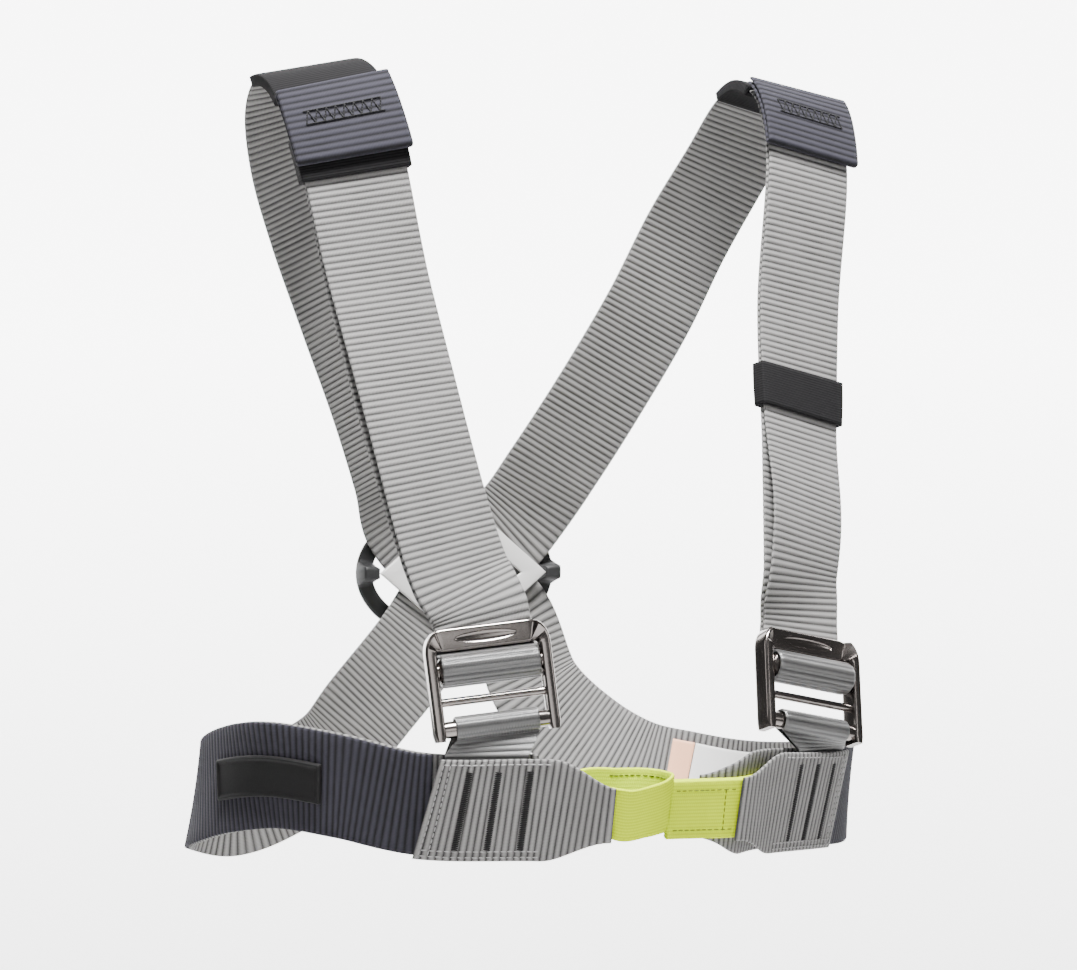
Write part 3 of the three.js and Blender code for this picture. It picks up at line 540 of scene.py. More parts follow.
def thread_tree():
    tree = bpy.data.node_groups.new("threads", "GeometryNodeTree")
    face = tree.interface
    face.new_socket("Geometry", in_out="INPUT", socket_type="NodeSocketGeometry")
    for name in ("Thread length", "Thread radius"):
        face.new_socket(name, in_out="INPUT", socket_type="NodeSocketFloat")
    face.new_socket("Thread finish", in_out="INPUT", socket_type="NodeSocketMaterial")
    face.new_socket("Geometry", in_out="OUTPUT", socket_type="NodeSocketGeometry")
    nodes = tree.nodes
    given = nodes.new("NodeGroupInput")
    result = nodes.new("NodeGroupOutput")
    bar = nodes.new("GeometryNodeMeshUVSphere")
    for name, value in (("Segments", 8), ("Rings", 5), ("Radius", 1)):
        bar.inputs[name].default_value = value
    scale = nodes.new("ShaderNodeCombineXYZ")
    half = nodes.new("ShaderNodeMath")
    half.operation = "MULTIPLY"
    half.inputs[1].default_value = 0.5
    way = nodes.new("GeometryNodeInputNamedAttribute")
    way.data_type = "FLOAT_VECTOR"
    way.inputs["Name"].default_value = "thread_way"
    turn = nodes.new("FunctionNodeAlignRotationToVector")
    turn.axis = "X"
    sewn = nodes.new("GeometryNodeInstanceOnPoints")
    real = nodes.new("GeometryNodeRealizeInstances")
    smooth = nodes.new("GeometryNodeSetShadeSmooth")
    paint = nodes.new("GeometryNodeSetMaterial")
    for source, leaves, target, enters in (
        (given, "Thread length", half, 0),
        (half, 0, scale, 0),
        (given, "Thread radius", scale, 1),
        (given, "Thread radius", scale, 2),
        (way, "Attribute", turn, "Vector"),
        (given, "Geometry", sewn, "Points"),
        (bar, "Mesh", sewn, "Instance"),
        (turn, "Rotation", sewn, "Rotation"),
        (scale, 0, sewn, "Scale"),
        (sewn, "Instances", real, "Geometry"),
        (real, "Geometry", smooth, "Geometry"),
        (smooth, "Geometry", paint, "Geometry"),
        (given, "Thread finish", paint, "Material"),
        (paint, "Geometry", result, "Geometry"),
    ):
        tree.links.new(source.outputs[leaves], target.inputs[enters])
    return tree


THREADS = thread_tree()


def plain_mesh(piece):
    """What the piece's modifiers make of it."""
    return bpy.data.meshes.new_from_object(piece.evaluated_get(bpy.context.evaluated_depsgraph_get()))


def sew(name, threads, finish, slot, length, radius):
    """threads is a list of (points, directions) in millimetres."""
    points = np.vstack([p for p, _ in threads]) * MM
    ways = np.vstack([w for _, w in threads])
    mesh = bpy.data.meshes.new(name)
    mesh.from_pydata(points.tolist(), [], [])
    layer = mesh.attributes.new("thread_way", "FLOAT_VECTOR", "POINT")
    layer.data.foreach_set("vector", ways.astype(np.float32).ravel())
    source = in_scene(name + "_points", mesh)
    modifier = source.modifiers.new("threads", "NODES")
    modifier.node_group = THREADS
    wanted = {"Thread length": length * MM, "Thread radius": radius * MM, "Thread finish": finish}
    for item in THREADS.interface.items_tree:
        if item.in_out == "INPUT" and item.name in wanted:
            modifier[item.identifier] = wanted[item.name]
    made = plain_mesh(source)
    made.name = name
    bpy.data.objects.remove(source)
    return keep(in_scene(name, made), slot)


def seam(route, line, lift, spacing, crosswise=False):
    """Threads along a line of (distance, shift) corners on a route; crosswise turns each across the line."""
    corners = np.array(line, float)
    run = np.concatenate([[0], np.cumsum(np.linalg.norm(np.diff(corners, axis=0), axis=1))])
    count = max(1, round(run[-1] / spacing))
    t = (np.arange(count) + 0.5) * run[-1] / count
    reach = 0.4

    def on_cloth(values):
        d, shift = (np.interp(np.clip(values, 0, run[-1]), run, corners[:, k]) for k in (0, 1))
        height = lift(d) if callable(lift) else np.full(len(d), lift)
        return route.spot(d, shift, height)

    points = on_cloth(t)
    ways = unit(on_cloth(t + reach) - on_cloth(t - reach))
    if crosswise:
        d = np.interp(t, run, corners[:, 0])
        ways = unit(np.cross(ways, route.frame(d)[3]))
    return points, ways


def thread_finish(name, colour):
    look = Finish(name)
    twist = look.noise(3800, 3)
    tone = look.mix(twist, tuple(0.6 * c for c in colour), colour)
    return look.done(Base_Color=tone, Roughness=0.55 + twist * 0.2, Specular_IOR_Level=0.25)


# Chest band. Navy nylon webbing lies on the outside of the shoulder webbing from the front patches round
# the sides. It starts under the patch, and two dark seams across hold its far end.
PATCH_LENGTH = 48
PATCH_FROM = {"left": 15, "right": 0}
NAVY_HIDDEN = 1.5
NAVY_FROM_RING = 150
NAVY_PITCH = 2.9
NAVY_RIB = 0.34
BAND_SEAM_INSETS = (3, 6)
BAND_SEAM_HALF = HALF_WEB - 2
NAVY = woven("navy nylon webbing", (0.034, 0.0325, 0.045), (0.0003, 0.0003, 0.0005), NAVY_PITCH)
DARK_THREAD = thread_finish("black thread", (0.02, 0.02, 0.022))


def band_route(side):
    return ROUTE[OTHER[side]]


def patch_end(side):
    return PATCH_FROM[side] + TAPER_LENGTH + PATCH_LENGTH


for side in SIGN:
    band = band_route(side)
    start, stop = patch_end(side) - NAVY_HIDDEN, band.ring_at - NAVY_FROM_RING
    rows = cloth_rows(band, start, stop, LAYER)
    outer = webbing("navy_band_" + side, rows, NAVY, pitch=NAVY_PITCH, rib=NAVY_RIB)
    keep(outer, "navy_webbing", "chest_band_" + side)
    face = LAYER + WEB_THICK / 2
    end_seam = [
        seam(band, [(stop - inset, -BAND_SEAM_HALF), (stop - inset, BAND_SEAM_HALF)], face, spacing=2.6)
        for inset in BAND_SEAM_INSETS
    ]
    sew("band_end_seam_" + side, end_seam, DARK_THREAD, "navy_webbing", length=2.1, radius=0.26)

# Front patches. Grey webbing over the layers of the band, its inner end folded narrower for the loop. Three
# bar-tacks and rows of lock stitch hold the layers; the outer end is cut and sewn at a slant.
SLANT = 4.7
LOOP_END_SHARE = 0.3
LOOP_END_LEAN = 0.4
TACK_HALF = 17
PATCH_SEAM_INSET = 2.2
PATCH_SEAM_HALF = 20
PATCH_SEAM_APART = 2.5
PATCH_SEAM_BACK = 3
GREY_THREAD = thread_finish("grey thread", (0.34, 0.335, 0.33))
TACK_THREAD = thread_finish("bar-tack thread", (0.014, 0.0137, 0.0137))
TACKS = {"left": (12, 24, 36), "right": (14, 26, 39)}


def patch_lift(side):
    start, low = PATCH_FROM[side], 2 if side == "right" else 3

    def lift(d):
        return LAYER * (low + (3 - low) * smoothstep(d - start, 0, TAPER_LENGTH))

    return lift


for side in SIGN:
    band, lift, start, stop = band_route(side), patch_lift(side), PATCH_FROM[side], patch_end(side)

    def patch_half(d, start=start):
        return taper_half(d - start)

    lean = ([0, LOOP_END_SHARE, 1], [0, LOOP_END_LEAN * SLANT, SLANT])
    rows = cloth_rows(band, start, stop, lift, patch_half)
    keep(webbing("front_patch_" + side, rows, GREY, skew=lean), "grey_webbing", "tack_patch_" + side)

    def face(d, lift=lift):
        return lift(d) + WEB_THICK / 2 + 0.1

    def slanted(d, shift, side=side, start=start, stop=stop):
        share = (d - start) / (stop - start)
        return d + np.interp(share, *lean) * shift / HALF_WEB, shift

    tacks = [
        seam(band, [slanted(stop - inset, -TACK_HALF), slanted(stop - inset, TACK_HALF)], face, 0.8, True)
        for inset in TACKS[side]
    ]
    sew("bar_tacks_" + side, tacks, TACK_THREAD, "grey_webbing", length=3.0, radius=0.4)
    far, near = stop - PATCH_SEAM_INSET, stop - PATCH_LENGTH + 1
    behind, upper, lower = far - PATCH_SEAM_BACK, PATCH_SEAM_HALF, -PATCH_SEAM_HALF
    second = PATCH_SEAM_HALF - PATCH_SEAM_APART
    ends = [
        ((far, lower), (far, upper)),
        ((behind, lower), (behind, upper)),
        ((far, upper), (near, upper)),
        ((far, second), (near, second)),
        ((far, lower), (near, lower)),
    ]
    seams = [seam(band, [slanted(*a), slanted(*b)], face, spacing=2.8) for a, b in ends]
    sew("patch_seams_" + side, seams, GREY_THREAD, "grey_webbing", length=2.3, radius=0.28)

# Tie-in loops. Lime tape 25 mm wide with fine ribs along it, sewn in under the patches. The wearer's right
# one stands open for the rope; the left one is folded flat on itself, with two long seams and one across.
HALF_LOOP = 12.5
LOOP_THICK = 1.6
LOOP_HIDDEN = 18
FLAT_LOOP_REACH = 29
LOOP_RIBS = 17
LOOP_RIB = 0.1
LOOP_TUCK = 6
THREAD_CLEAR = 0.05
FLAT_SEAMS = (-8.3, 8.6)
CROSS_SEAM_AT = 24
CROSS_SEAM = (-9, 9.5)
OPEN_SEAM_HALF = 9.5
OPEN_SEAM_SHORT = 30
OPEN_LOOP = [
    (0.127, -0.586, 1.017, 0.6),
    (0.08, -0.592, 1.013, 0.55),
    (0.033, -0.59, 1.008, 0.45),
    (-0.003, -0.575, 1.003, 0.3),
    (-0.01, -0.557, 1.002, 0.2),
    (0, -0.534, 1, 0.1),
    (0.04, -0.519, 0.998, 0.05),
    (0.12, -0.517, 0.997, 0.05),
    (0.2, -0.519, 0.995, 0.1),
]
LIME = woven(
    "lime tape", (0.62, 0.76, 0.0), (0.42, 0.55, 0.0), 2 * HALF_LOOP / LOOP_RIBS,
    yarn_width=0.9, lengthwise=True, sheen=0, rough=0.85, shine=0.08,
)
LIME_THREAD = thread_finish("dark lime thread", (0.1, 0.14, 0.004))


def folded_rows(route, start, stop, low, high, half):
    """Two layers on a route with the fold between them at stop."""
    at, along, edge, out = (v[0] for v in route.frame(stop))
    heading = along * np.sign(stop - start)
    fold = []
    for a in np.radians(np.linspace(20, 160, 8)):
        middle = at + out * ((low + high) / 2 - (high - low) / 2 * math.cos(a))
        middle = middle + heading * (high - low) / 2 * math.sin(a)
        fold.append(np.hstack([middle, edge, out * math.cos(a) - heading * math.sin(a), half]))
    over = cloth_rows(route, stop, start, high, half, back=True)
    return np.vstack([cloth_rows(route, start, stop, low, half), fold, over])


band = band_route("left")
loop_from, loop_to = PATCH_FROM["left"] + LOOP_HIDDEN, PATCH_FROM["left"] - FLAT_LOOP_REACH
flat_rows = folded_rows(band, loop_from, loop_to, 2 * LAYER, LAYER, HALF_LOOP)
flat = webbing("flat_loop", flat_rows, LIME, LOOP_THICK, rib=LOOP_RIB, lengthwise=LOOP_RIBS)
keep(flat, "lime_webbing", "tie_in_loop_left")
face = 2 * LAYER + LOOP_THICK / 2 + THREAD_CLEAR
lines = [[(loop_to + 2, u), (PATCH_FROM["left"] - 1, u)] for u in FLAT_SEAMS]
lines.append([(loop_to + CROSS_SEAM_AT, u) for u in CROSS_SEAM])
flat_seams = [seam(band, line, face, spacing=2.6) for line in lines]
sew("flat_loop_seams", flat_seams, LIME_THREAD, "lime_webbing", length=2.2, radius=0.26)

band = band_route("right")
places = [(band.spot(d, 0, LAYER)[0], band.frame(d)[2][0]) for d in (LOOP_HIDDEN, LOOP_HIDDEN / 2, 0)]
places += [(place(row[:3], -1), np.array([0, row[3], -1])) for row in OPEN_LOOP]
for d in (WEB_FROM["right"] - LOOP_TUCK, WEB_FROM["right"] - GAP):
    at, _, edge, _ = band.frame(d)
    places.append((at[0], edge[0]))
loop_route = Route(places, 1)
open_rows = cloth_rows(loop_route, 0, loop_route.length, 0, HALF_LOOP)
opened = webbing("open_loop", open_rows, LIME, LOOP_THICK, rib=LOOP_RIB, lengthwise=LOOP_RIBS)
keep(opened, "lime_webbing", "tie_in_loop_right")
lip = LOOP_THICK / 2 + THREAD_CLEAR
seam_end = loop_route.length - OPEN_SEAM_SHORT
lines = [[(LOOP_HIDDEN + 1, u), (seam_end, u)] for u in (-OPEN_SEAM_HALF, OPEN_SEAM_HALF)]
open_seams = [seam(loop_route, line, lip, spacing=2.6) for line in lines]
sew("open_loop_seams", open_seams, LIME_THREAD, "lime_webbing", length=2.2, radius=0.26)

# Tabs and elastic. Each tail ends in a tab of navy webbing, folded back on itself and tacked with a zigzag.
# Sleeves of black woven elastic hold the tail against the shoulder webbing.
TAB_HALF = 25
TAB_THICK = 1.8
KEEPER_THICK = 1.4
CROWN_KEEPER_LENGTH = 26
ZIGZAG_HALF = 17
ZIGZAG_TALL = 5.5
ZIGZAG_TURNS = 17
ZIGZAG_SHARE = 0.36
TAB_RIB = 0.24
TAB_THREAD_LIFT = 0.15
ELASTIC_POINTS = 96
ELASTIC_SQUARE = 0.12
ELASTIC_BULGE = 0.12
ELASTIC_INNER = 0.05
ELASTIC_PITCH = 1.1
BLACK_THREAD = thread_finish("tab zigzag thread", (0.004, 0.004, 0.005))


def elastic():
    look = Finish("black elastic")
    _, along = look.cloth_place()
    cord = (along * (math.pi / ELASTIC_PITCH)).math("SINE").math("ABSOLUTE")
    fuzz = look.noise(2400, 3)
    # Painted shade: the colour is darkest in the hollows between the cords, and the fuzz varies it at random.
    tone = look.mix(cord * 0.6 + fuzz * 0.4, (0.002, 0.002, 0.002), (0.014, 0.0135, 0.0145))
    normal = look.bump(cord + fuzz * 0.3, 0.00015, 0.7)
    return look.done(Base_Color=tone, Roughness=0.8 + fuzz * 0.15, Normal=normal, Specular_IOR_Level=0.12)


ELASTIC = elastic()


def sleeve(name, route, start, stop, low, high):
    """Tube of elastic round the layers between two lifts, its corners rounded by the stretch."""
    d = np.linspace(start, stop, 15)
    at, _, edge, out = route.frame(d)
    middle, tall, wide = (low + high) / 2, (high - low) / 2, HALF_WEB + GAP
    angles = np.linspace(0, 2 * math.pi, ELASTIC_POINTS, endpoint=False)

    def loop(grow):
        c = np.sign(np.cos(angles)) * np.abs(np.cos(angles)) ** ELASTIC_SQUARE
        s = np.sign(np.sin(angles)) * np.abs(np.sin(angles)) ** ELASTIC_SQUARE
        return (wide + grow) * c, middle + (tall + grow) * s

    bulge = ELASTIC_BULGE * np.sin(np.linspace(0, math.pi, len(d)))
    size = len(angles)
    points, uv, faces = [], [], []
    for wall, grow in ((0, KEEPER_THICK), (1, ELASTIC_INNER)):
        for i in range(len(d)):
            u, lift = loop(grow + (bulge[i] if wall == 0 else 0))
            points.append(at[i] + edge[i] * u[:, None] + out[i] * lift[:, None])
            uv.append(np.stack([u, np.full(size, d[i])], axis=1))
    n = len(d)
    order = [*range(n), *range(2 * n - 1, n - 1, -1)]
    for here, following in zip(order, order[1:] + order[:1]):
        a, b = here * size, following * size
        faces += [(a + j, a + (j + 1) % size, b + (j + 1) % size, b + j) for j in range(size)]
    return mesh_object(name, np.vstack(points), faces, ELASTIC, np.vstack(uv))


for side, route in ROUTE.items():
    snug = WEB_THICK / 2 + GAP
    tab_top = route.crown_at + TAB_BELOW_CROWN[side]
    tab_end = tab_top + TAB_HEIGHT
    over = KEEPER_THICK + GAP if KEEPER_SHARE[side] == 0 else 0
    tab_low = LAYER + snug + over + TAB_THICK / 2
    tab_high = tab_low + TAB_THICK + GAP
    tab_rows = folded_rows(route, tab_top, tab_end, tab_low, tab_high, TAB_HALF)
    tab = webbing("tail_tab_" + side + "_cloth", tab_rows, NAVY, TAB_THICK, NAVY_PITCH, TAB_RIB)
    keep(tab, "navy_webbing", "tail_tab_" + side)
    band_low = tab_top + ZIGZAG_SHARE * TAB_HEIGHT
    corners = [
        (band_low + (ZIGZAG_TALL if i % 2 else 0), ZIGZAG_HALF * (2 * i / ZIGZAG_TURNS - 1))
        for i in range(ZIGZAG_TURNS + 1)
    ]
    face = tab_high + TAB_THICK / 2 + TAB_THREAD_LIFT
    zigzag = [seam(route, [a, b], face, spacing=1.3) for a, b in zip(corners, corners[1:])]
    edges = [
        [(band_low, -ZIGZAG_HALF), (band_low, ZIGZAG_HALF)],
        [(band_low + ZIGZAG_TALL, -ZIGZAG_HALF), (band_low + ZIGZAG_TALL, ZIGZAG_HALF)],
    ]
    zigzag += [seam(route, line, face, spacing=1.3) for line in edges]
    sew("tab_zigzag_" + side, zigzag, BLACK_THREAD, "navy_webbing", length=1.9, radius=0.34)
    crown_from = tab_top - CROWN_KEEPER_LENGTH
    crown = sleeve("crown_elastic_" + side, route, crown_from, tab_top - GAP, -snug, snug)
    keep(crown, "black_elastic", "crown_keeper_" + side)
    start = keeper_from(side)
    held = sleeve("tail_elastic_" + side, route, start, start + KEEPER_LENGTH, -snug, LAYER + snug)
    keep(held, "black_elastic", "tail_keeper_" + side)

# Slider buckles. Cast alloy with a dark polished skin: a frame with a wide plate above and three bars across.
# The frame runs in one piece from arm to arm, the plate has a thumb scoop, and the bars end in the arms.
BUCKLE_BOTTOM = 28
BUCKLE_BACK = 4.6
BUCKLE_FRONT = 3.6
BUCKLE_ARM = 4.6
BAR_NECK = 3.2
INNER_HALF = HALF_CUPPED + 1.1
PLATE_THICK = 3
INNER_TOP = UPPER_ROLL + WEB_THICK / 2 + 2 * GAP
PLATE_BACK = -UPPER_ROLL + LAYER + WEB_THICK / 2 + GAP
CORNER_BEND = 6
FILLET = 1.25
FILLET_POINTS = 5
FOOT_TALL = 1.4
FOOT_SHARE = 0.72
MIDDLE_BAR_DROP = 12.5
MIDDLE_BAR = 1.7
LOWER_BAR_DROP = 23.5
LOWER_BAR = 3.4
BARS = ((0, UPPER_BAR), (MIDDLE_BAR_DROP, MIDDLE_BAR), (LOWER_BAR_DROP, LOWER_BAR))
BAR_IN_ARM = 0.6
SCOOP = (13, 2.5, 1.2)


def metal(name, base, roughness):
    look = Finish(name)
    fine = look.noise(900, 4)
    rubbed = look.noise(45, 3)
    tone = look.mix(rubbed, tuple(0.75 * c for c in base), base)
    rough = (rubbed * 0.14) + (fine * 0.06) + (roughness - 0.1)
    normal = look.bump(fine, 0.00002, 0.4)
    return look.done(
        Base_Color=tone, Metallic=1.0, Roughness=rough, Normal=normal, Coat_Weight=0.15, Coat_Roughness=0.12
    )


GUNMETAL = metal("dark polished alloy", (0.27, 0.245, 0.232), 0.2)


def rounded_section(low_a, high_a, low_b, high_b, fillet):
    """Corner-rounded rectangle as a ring of (a, b)."""
    ring = []
    corners = ((high_a, high_b), (low_a, high_b), (low_a, low_b), (high_a, low_b))
    for (ca, cb), first in zip(corners, (0, 90, 180, 270)):
        inner_a = ca - fillet if ca == high_a else ca + fillet
        inner_b = cb - fillet if cb == high_b else cb + fillet
        for angle in np.radians(first + np.linspace(0, 90, FILLET_POINTS)):
            ring.append((inner_a + fillet * math.cos(angle), inner_b + fillet * math.sin(angle)))
    return np.array(ring)


def ring_faces(count, size, closed=False):
    faces = []
    for i in range(count if closed else count - 1):
        a, b = i * size, (i + 1) % count * size
        faces += [(a + j, a + (j + 1) % size, b + (j + 1) % size, b + j) for j in range(size)]
    if not closed:
        faces += [tuple(range(size)), tuple(range((count - 1) * size, count * size))]
    return faces


def buckle_sweep():
    """Rings of the frame in (edge, up, out), from one arm's foot over the plate to the other's."""
    plate_half = (BUCKLE_TOP - INNER_TOP) / 2
    plate_up = (BUCKLE_TOP + INNER_TOP) / 2
    arm = INNER_HALF + BUCKLE_ARM / 2
    path = []
    for up in np.linspace(-BUCKLE_BOTTOM, plate_up - CORNER_BEND, 14):
        foot = min(1, (up + BUCKLE_BOTTOM) / FOOT_TALL)
        grown = FOOT_SHARE + (1 - FOOT_SHARE) * math.sin(foot * math.pi / 2)
        path.append((arm, up, 180, 0, grown))
    for turn in np.linspace(0, 90, 28)[1:]:
        a = math.radians(turn)
        edge = arm - CORNER_BEND + CORNER_BEND * math.cos(a)
        path.append((edge, plate_up - CORNER_BEND + CORNER_BEND * math.sin(a), 180 + turn, turn / 90, 1))
    for edge in np.linspace(arm - CORNER_BEND - 1, 0, 8):
        path.append((edge, plate_up, 270, 1, 1))
    path += [(-edge, up, 540 - angle, share, size) for edge, up, angle, share, size in path[-2::-1]]
    rings = []
    for edge, up, angle, share, size in path:
        share = share * share * (3 - 2 * share)
        half = (BUCKLE_ARM / 2 + (plate_half - BUCKLE_ARM / 2) * share) * size
        deep = rounded_section(-half, half, -BUCKLE_BACK, BUCKLE_FRONT, FILLET * size)
        thin = rounded_section(-half, half, PLATE_BACK, PLATE_BACK + PLATE_THICK, FILLET * size)
        inward = (math.cos(math.radians(angle)), math.sin(math.radians(angle)))
        spots = edge + deep[:, 0] * inward[0]
        between = 1 - smoothstep(np.abs(spots), INNER_HALF - 0.7, INNER_HALF + 0.3)
        depth = deep[:, 1] + (thin[:, 1] - deep[:, 1]) * between
        rings.append(np.stack([spots, up + deep[:, 0] * inward[1], depth], axis=1))
    return np.array(rings)


def bar_rings(drop, radius):
    neck = min(radius, BAR_NECK)
    half = INNER_HALF + BUCKLE_ARM * BAR_IN_ARM
    stations = [(-half, neck), (-INNER_HALF, neck), (-HALF_CUPPED, radius)]
    stations += [(-edge, wide) for edge, wide in reversed(stations)]
    angles = np.linspace(0, 2 * math.pi, 28, endpoint=False)
    return np.array([
        [(edge, wide * math.cos(a) - drop, wide * math.sin(a)) for a in angles] for edge, wide in stations
    ])


def to_row_frame(side, local):
    at, edge, up, out = buckle_frame(side)
    return at + local[:, :1] * edge + local[:, 1:2] * up + local[:, 2:] * out


def cut_away(piece, cutter):
    change = piece.modifiers.new("scoop", "BOOLEAN")
    change.operation, change.solver, change.object = "DIFFERENCE", "EXACT", cutter
    made = plain_mesh(piece)
    piece.modifiers.clear()
    old, piece.data = piece.data, made
    bpy.data.meshes.remove(old)
    bpy.data.objects.remove(cutter)


for side in SIGN:
    rings = buckle_sweep()
    body = to_row_frame(side, rings.reshape(-1, 3))
    shell = mesh_object("buckle_frame_" + side, body, ring_faces(len(rings), rings.shape[1]), GUNMETAL)
    bm = bmesh.new()
    bmesh.ops.create_uvsphere(bm, u_segments=40, v_segments=20, radius=1)
    local = np.array([v.co[:] for v in bm.verts]) * SCOOP
    local += (0, (BUCKLE_TOP + INNER_TOP) / 2, PLATE_BACK + PLATE_THICK)
    for vertex, spot in zip(bm.verts, to_row_frame(side, local) * MM):
        vertex.co = spot
    bmesh.ops.recalc_face_normals(bm, faces=bm.faces)
    scoop_mesh = bpy.data.meshes.new("scoop")
    bm.to_mesh(scoop_mesh)
    bm.free()
    cut_away(shell, in_scene("scoop", scoop_mesh))
    shell.data.set_sharp_from_angle(angle=math.radians(35))
    keep(shell, "buckle_metal", "buckle_" + side)
    points, faces = [], []
    for drop, radius in BARS:
        rings = bar_rings(drop, radius)
        faces += [tuple(k + len(points) for k in face) for face in ring_faces(len(rings), rings.shape[1])]
        points += to_row_frame(side, rings.reshape(-1, 3)).tolist()
    bars = mesh_object("buckle_bars_" + side, points, faces, GUNMETAL)
    bars.data.set_sharp_from_angle(angle=math.radians(35))
    keep(bars, "buckle_metal")

# Buckle links. A short doubled length of 34 mm grey webbing ties each buckle to the band. It comes from
# between band and patch, goes up behind the lower bar, round it and back under the patch.
LINK_WIDTH = 34
LINK_THICK = 1.2
LINK_HIDDEN = 28
LINK_CLEAR = 1
LOWER_ROLL = LOWER_BAR + GAP + WEB_THICK / 2
LINK_ENTERS = 190
LINK_LEAVES = -70
# The link is grey webbing whose colour is darkened as painted shade under the buckle; its low roughness gives
# its highlights.
SHADED_LINK_GREY = woven(
    "grey link webbing", (0.065, 0.064, 0.063), (0.002, 0.002, 0.002), RIB_PITCH, rough=0.26, shine=1.0
)

for side in SIGN:
    band = band_route(side)
    middle = patch_end(side) - PATCH_LENGTH / 2
    at, along, edge, out = (v[0] for v in band.frame(middle))
    _, bar_edge, bar_up, bar_out = buckle_frame(side)
    outward = np.sign(along.dot(bar_edge))
    low, high = LINK_HIDDEN - HALF_WEB, -HALF_WEB - LINK_CLEAR

    def on_band(lift, turned, shifts):
        half = LINK_WIDTH / 2
        return [np.hstack([at + out * lift + edge * s, along, out * turned, half]) for s in shifts]

    def on_bar(angle):
        a = math.radians(angle)
        spot = in_buckle(side, LOWER_ROLL * math.cos(a), LOWER_ROLL * math.sin(a) - LOWER_BAR_DROP)
        way = -(bar_out * math.cos(a) + bar_up * math.sin(a))
        return np.hstack([spot, bar_edge * outward, way, LINK_WIDTH / 2])

    rows = on_band(LAYER, 1, np.linspace(low, high, 12))
    rows += [on_bar(angle) for angle in np.linspace(LINK_ENTERS, LINK_LEAVES, 40)]
    rows += on_band(2 * LAYER, -1, np.linspace(high, low, 12))
    link = webbing("buckle_link_" + side + "_cloth", np.array(rows), SHADED_LINK_GREY, LINK_THICK)
    keep(link, "grey_webbing", "buckle_link_" + side)

# Back ring and cross plate. An oval ring of dark moulded nylon lies behind the crossing straps. The light
# diamond frame on the body side meets the ring's two lugs and holds the straps in their cross.
RING_HALF_WIDTH = 48.5
RING_HALF_HEIGHT = 31.5
RING_BAND = 7.4
RING_THICK = 3
RING_SEAT = 1.4
RING_DROP = 211
RING_FILLET = 1.1
LUG_HALF = 4
CROSS_HALF_WIDTH = 40.8
CROSS_HALF_HEIGHT = 33
CROSS_BAR = 12.4
CROSS_THICK = 2.4
CROSS_FILLET = 0.8
CROSSING_Y = CROSSING[1] * DEPTH


def moulded(name, base, grain=0.00005, roughness=0.42, shine=0.5):
    look = Finish(name)
    fine = look.noise(1800, 4)
    broad = look.noise(60, 2)
    tone = look.mix(broad, tuple(0.82 * c for c in base), base)
    rough = roughness + fine * 0.16
    normal = look.bump(fine, grain, 0.6)
    return look.done(Base_Color=tone, Roughness=rough, Normal=normal, Specular_IOR_Level=shine)


ring_rings = []
ring_front = CROSSING_Y + CROSSING_LIFT + WEB_THICK / 2 + RING_SEAT
lug_front = CROSSING_Y - CROSSING_LIFT - WEB_THICK / 2 - GAP - CROSS_THICK
for a in np.linspace(0, 2 * math.pi, 144, endpoint=False):
    height = abs(RING_HALF_HEIGHT * math.sin(a))
    share = 1 - float(smoothstep(height, LUG_HALF - 1, LUG_HALF + 1))
    front = ring_front + (lug_front - ring_front) * share
    profile = rounded_section(-RING_BAND / 2, RING_BAND / 2, front, ring_front + RING_THICK, RING_FILLET)
    wide, tall = RING_HALF_WIDTH - RING_BAND / 2, RING_HALF_HEIGHT - RING_BAND / 2
    ring_rings.append([
        ((wide + r) * math.cos(a), y, (tall + r) * math.sin(a) - RING_DROP) for r, y in profile
    ])
ring_rings = np.array(ring_rings)
faces = ring_faces(len(ring_rings), ring_rings.shape[1], True)
ring_nylon = moulded("dark moulded nylon", (0.016, 0.016, 0.0165), shine=0.3)
ring = mesh_object("oval_ring", ring_rings.reshape(-1, 3), faces, ring_nylon)
keep(ring, "ring_plastic", "back_ring")

plate_rings = []
plate_back = CROSSING_Y - CROSSING_LIFT - WEB_THICK / 2 - GAP
tall_share = CROSS_HALF_HEIGHT / CROSS_HALF_WIDTH
corners = [(1, 0), (0, 1), (-1, 0), (0, -1)]
for k, (cx, cz) in enumerate(corners):
    nx, nz = corners[(k + 1) % 4]
    for t in (0.0, 0.04, 0.5, 0.96):
        px, pz = cx + (nx - cx) * t, cz + (nz - cz) * t
        profile = rounded_section(-CROSS_BAR, 0, plate_back - CROSS_THICK, plate_back, CROSS_FILLET)
        plate_rings.append([
            ((CROSS_HALF_WIDTH + r) * px, y, (CROSS_HALF_WIDTH + r) * tall_share * pz - RING_DROP)
            for r, y in profile
        ])
plate_rings = np.array(plate_rings)
faces = ring_faces(len(plate_rings), plate_rings.shape[1], True)
plate_nylon = moulded("light moulded nylon", (0.56, 0.55, 0.54))
plate = mesh_object("cross_frame", plate_rings.reshape(-1, 3), faces, plate_nylon)
plate.data.set_sharp_from_angle(angle=math.radians(40))
keep(plate, "plate_plastic", "cross_plate")

# Labels. A bare badge of black moulded rubber with a raised rim lies on the outside of the band, and a smooth
# white satin label with a salmon end on its inside, near the back.
BADGE_FROM_PATCH = 44
BADGE_LENGTH = 60
BADGE_HALF = 8.5
BADGE_THICK = 1.2
BADGE_RIM = 1.6
BADGE_RISE = 0.6
BADGE_SEAT = 0.2
SATIN_FROM_RING = 138
SATIN_STRIP = 10
SATIN_LENGTH = 52
SATIN_HALF = 17
SATIN_THICK = 1
SATIN_YARN = 0.35


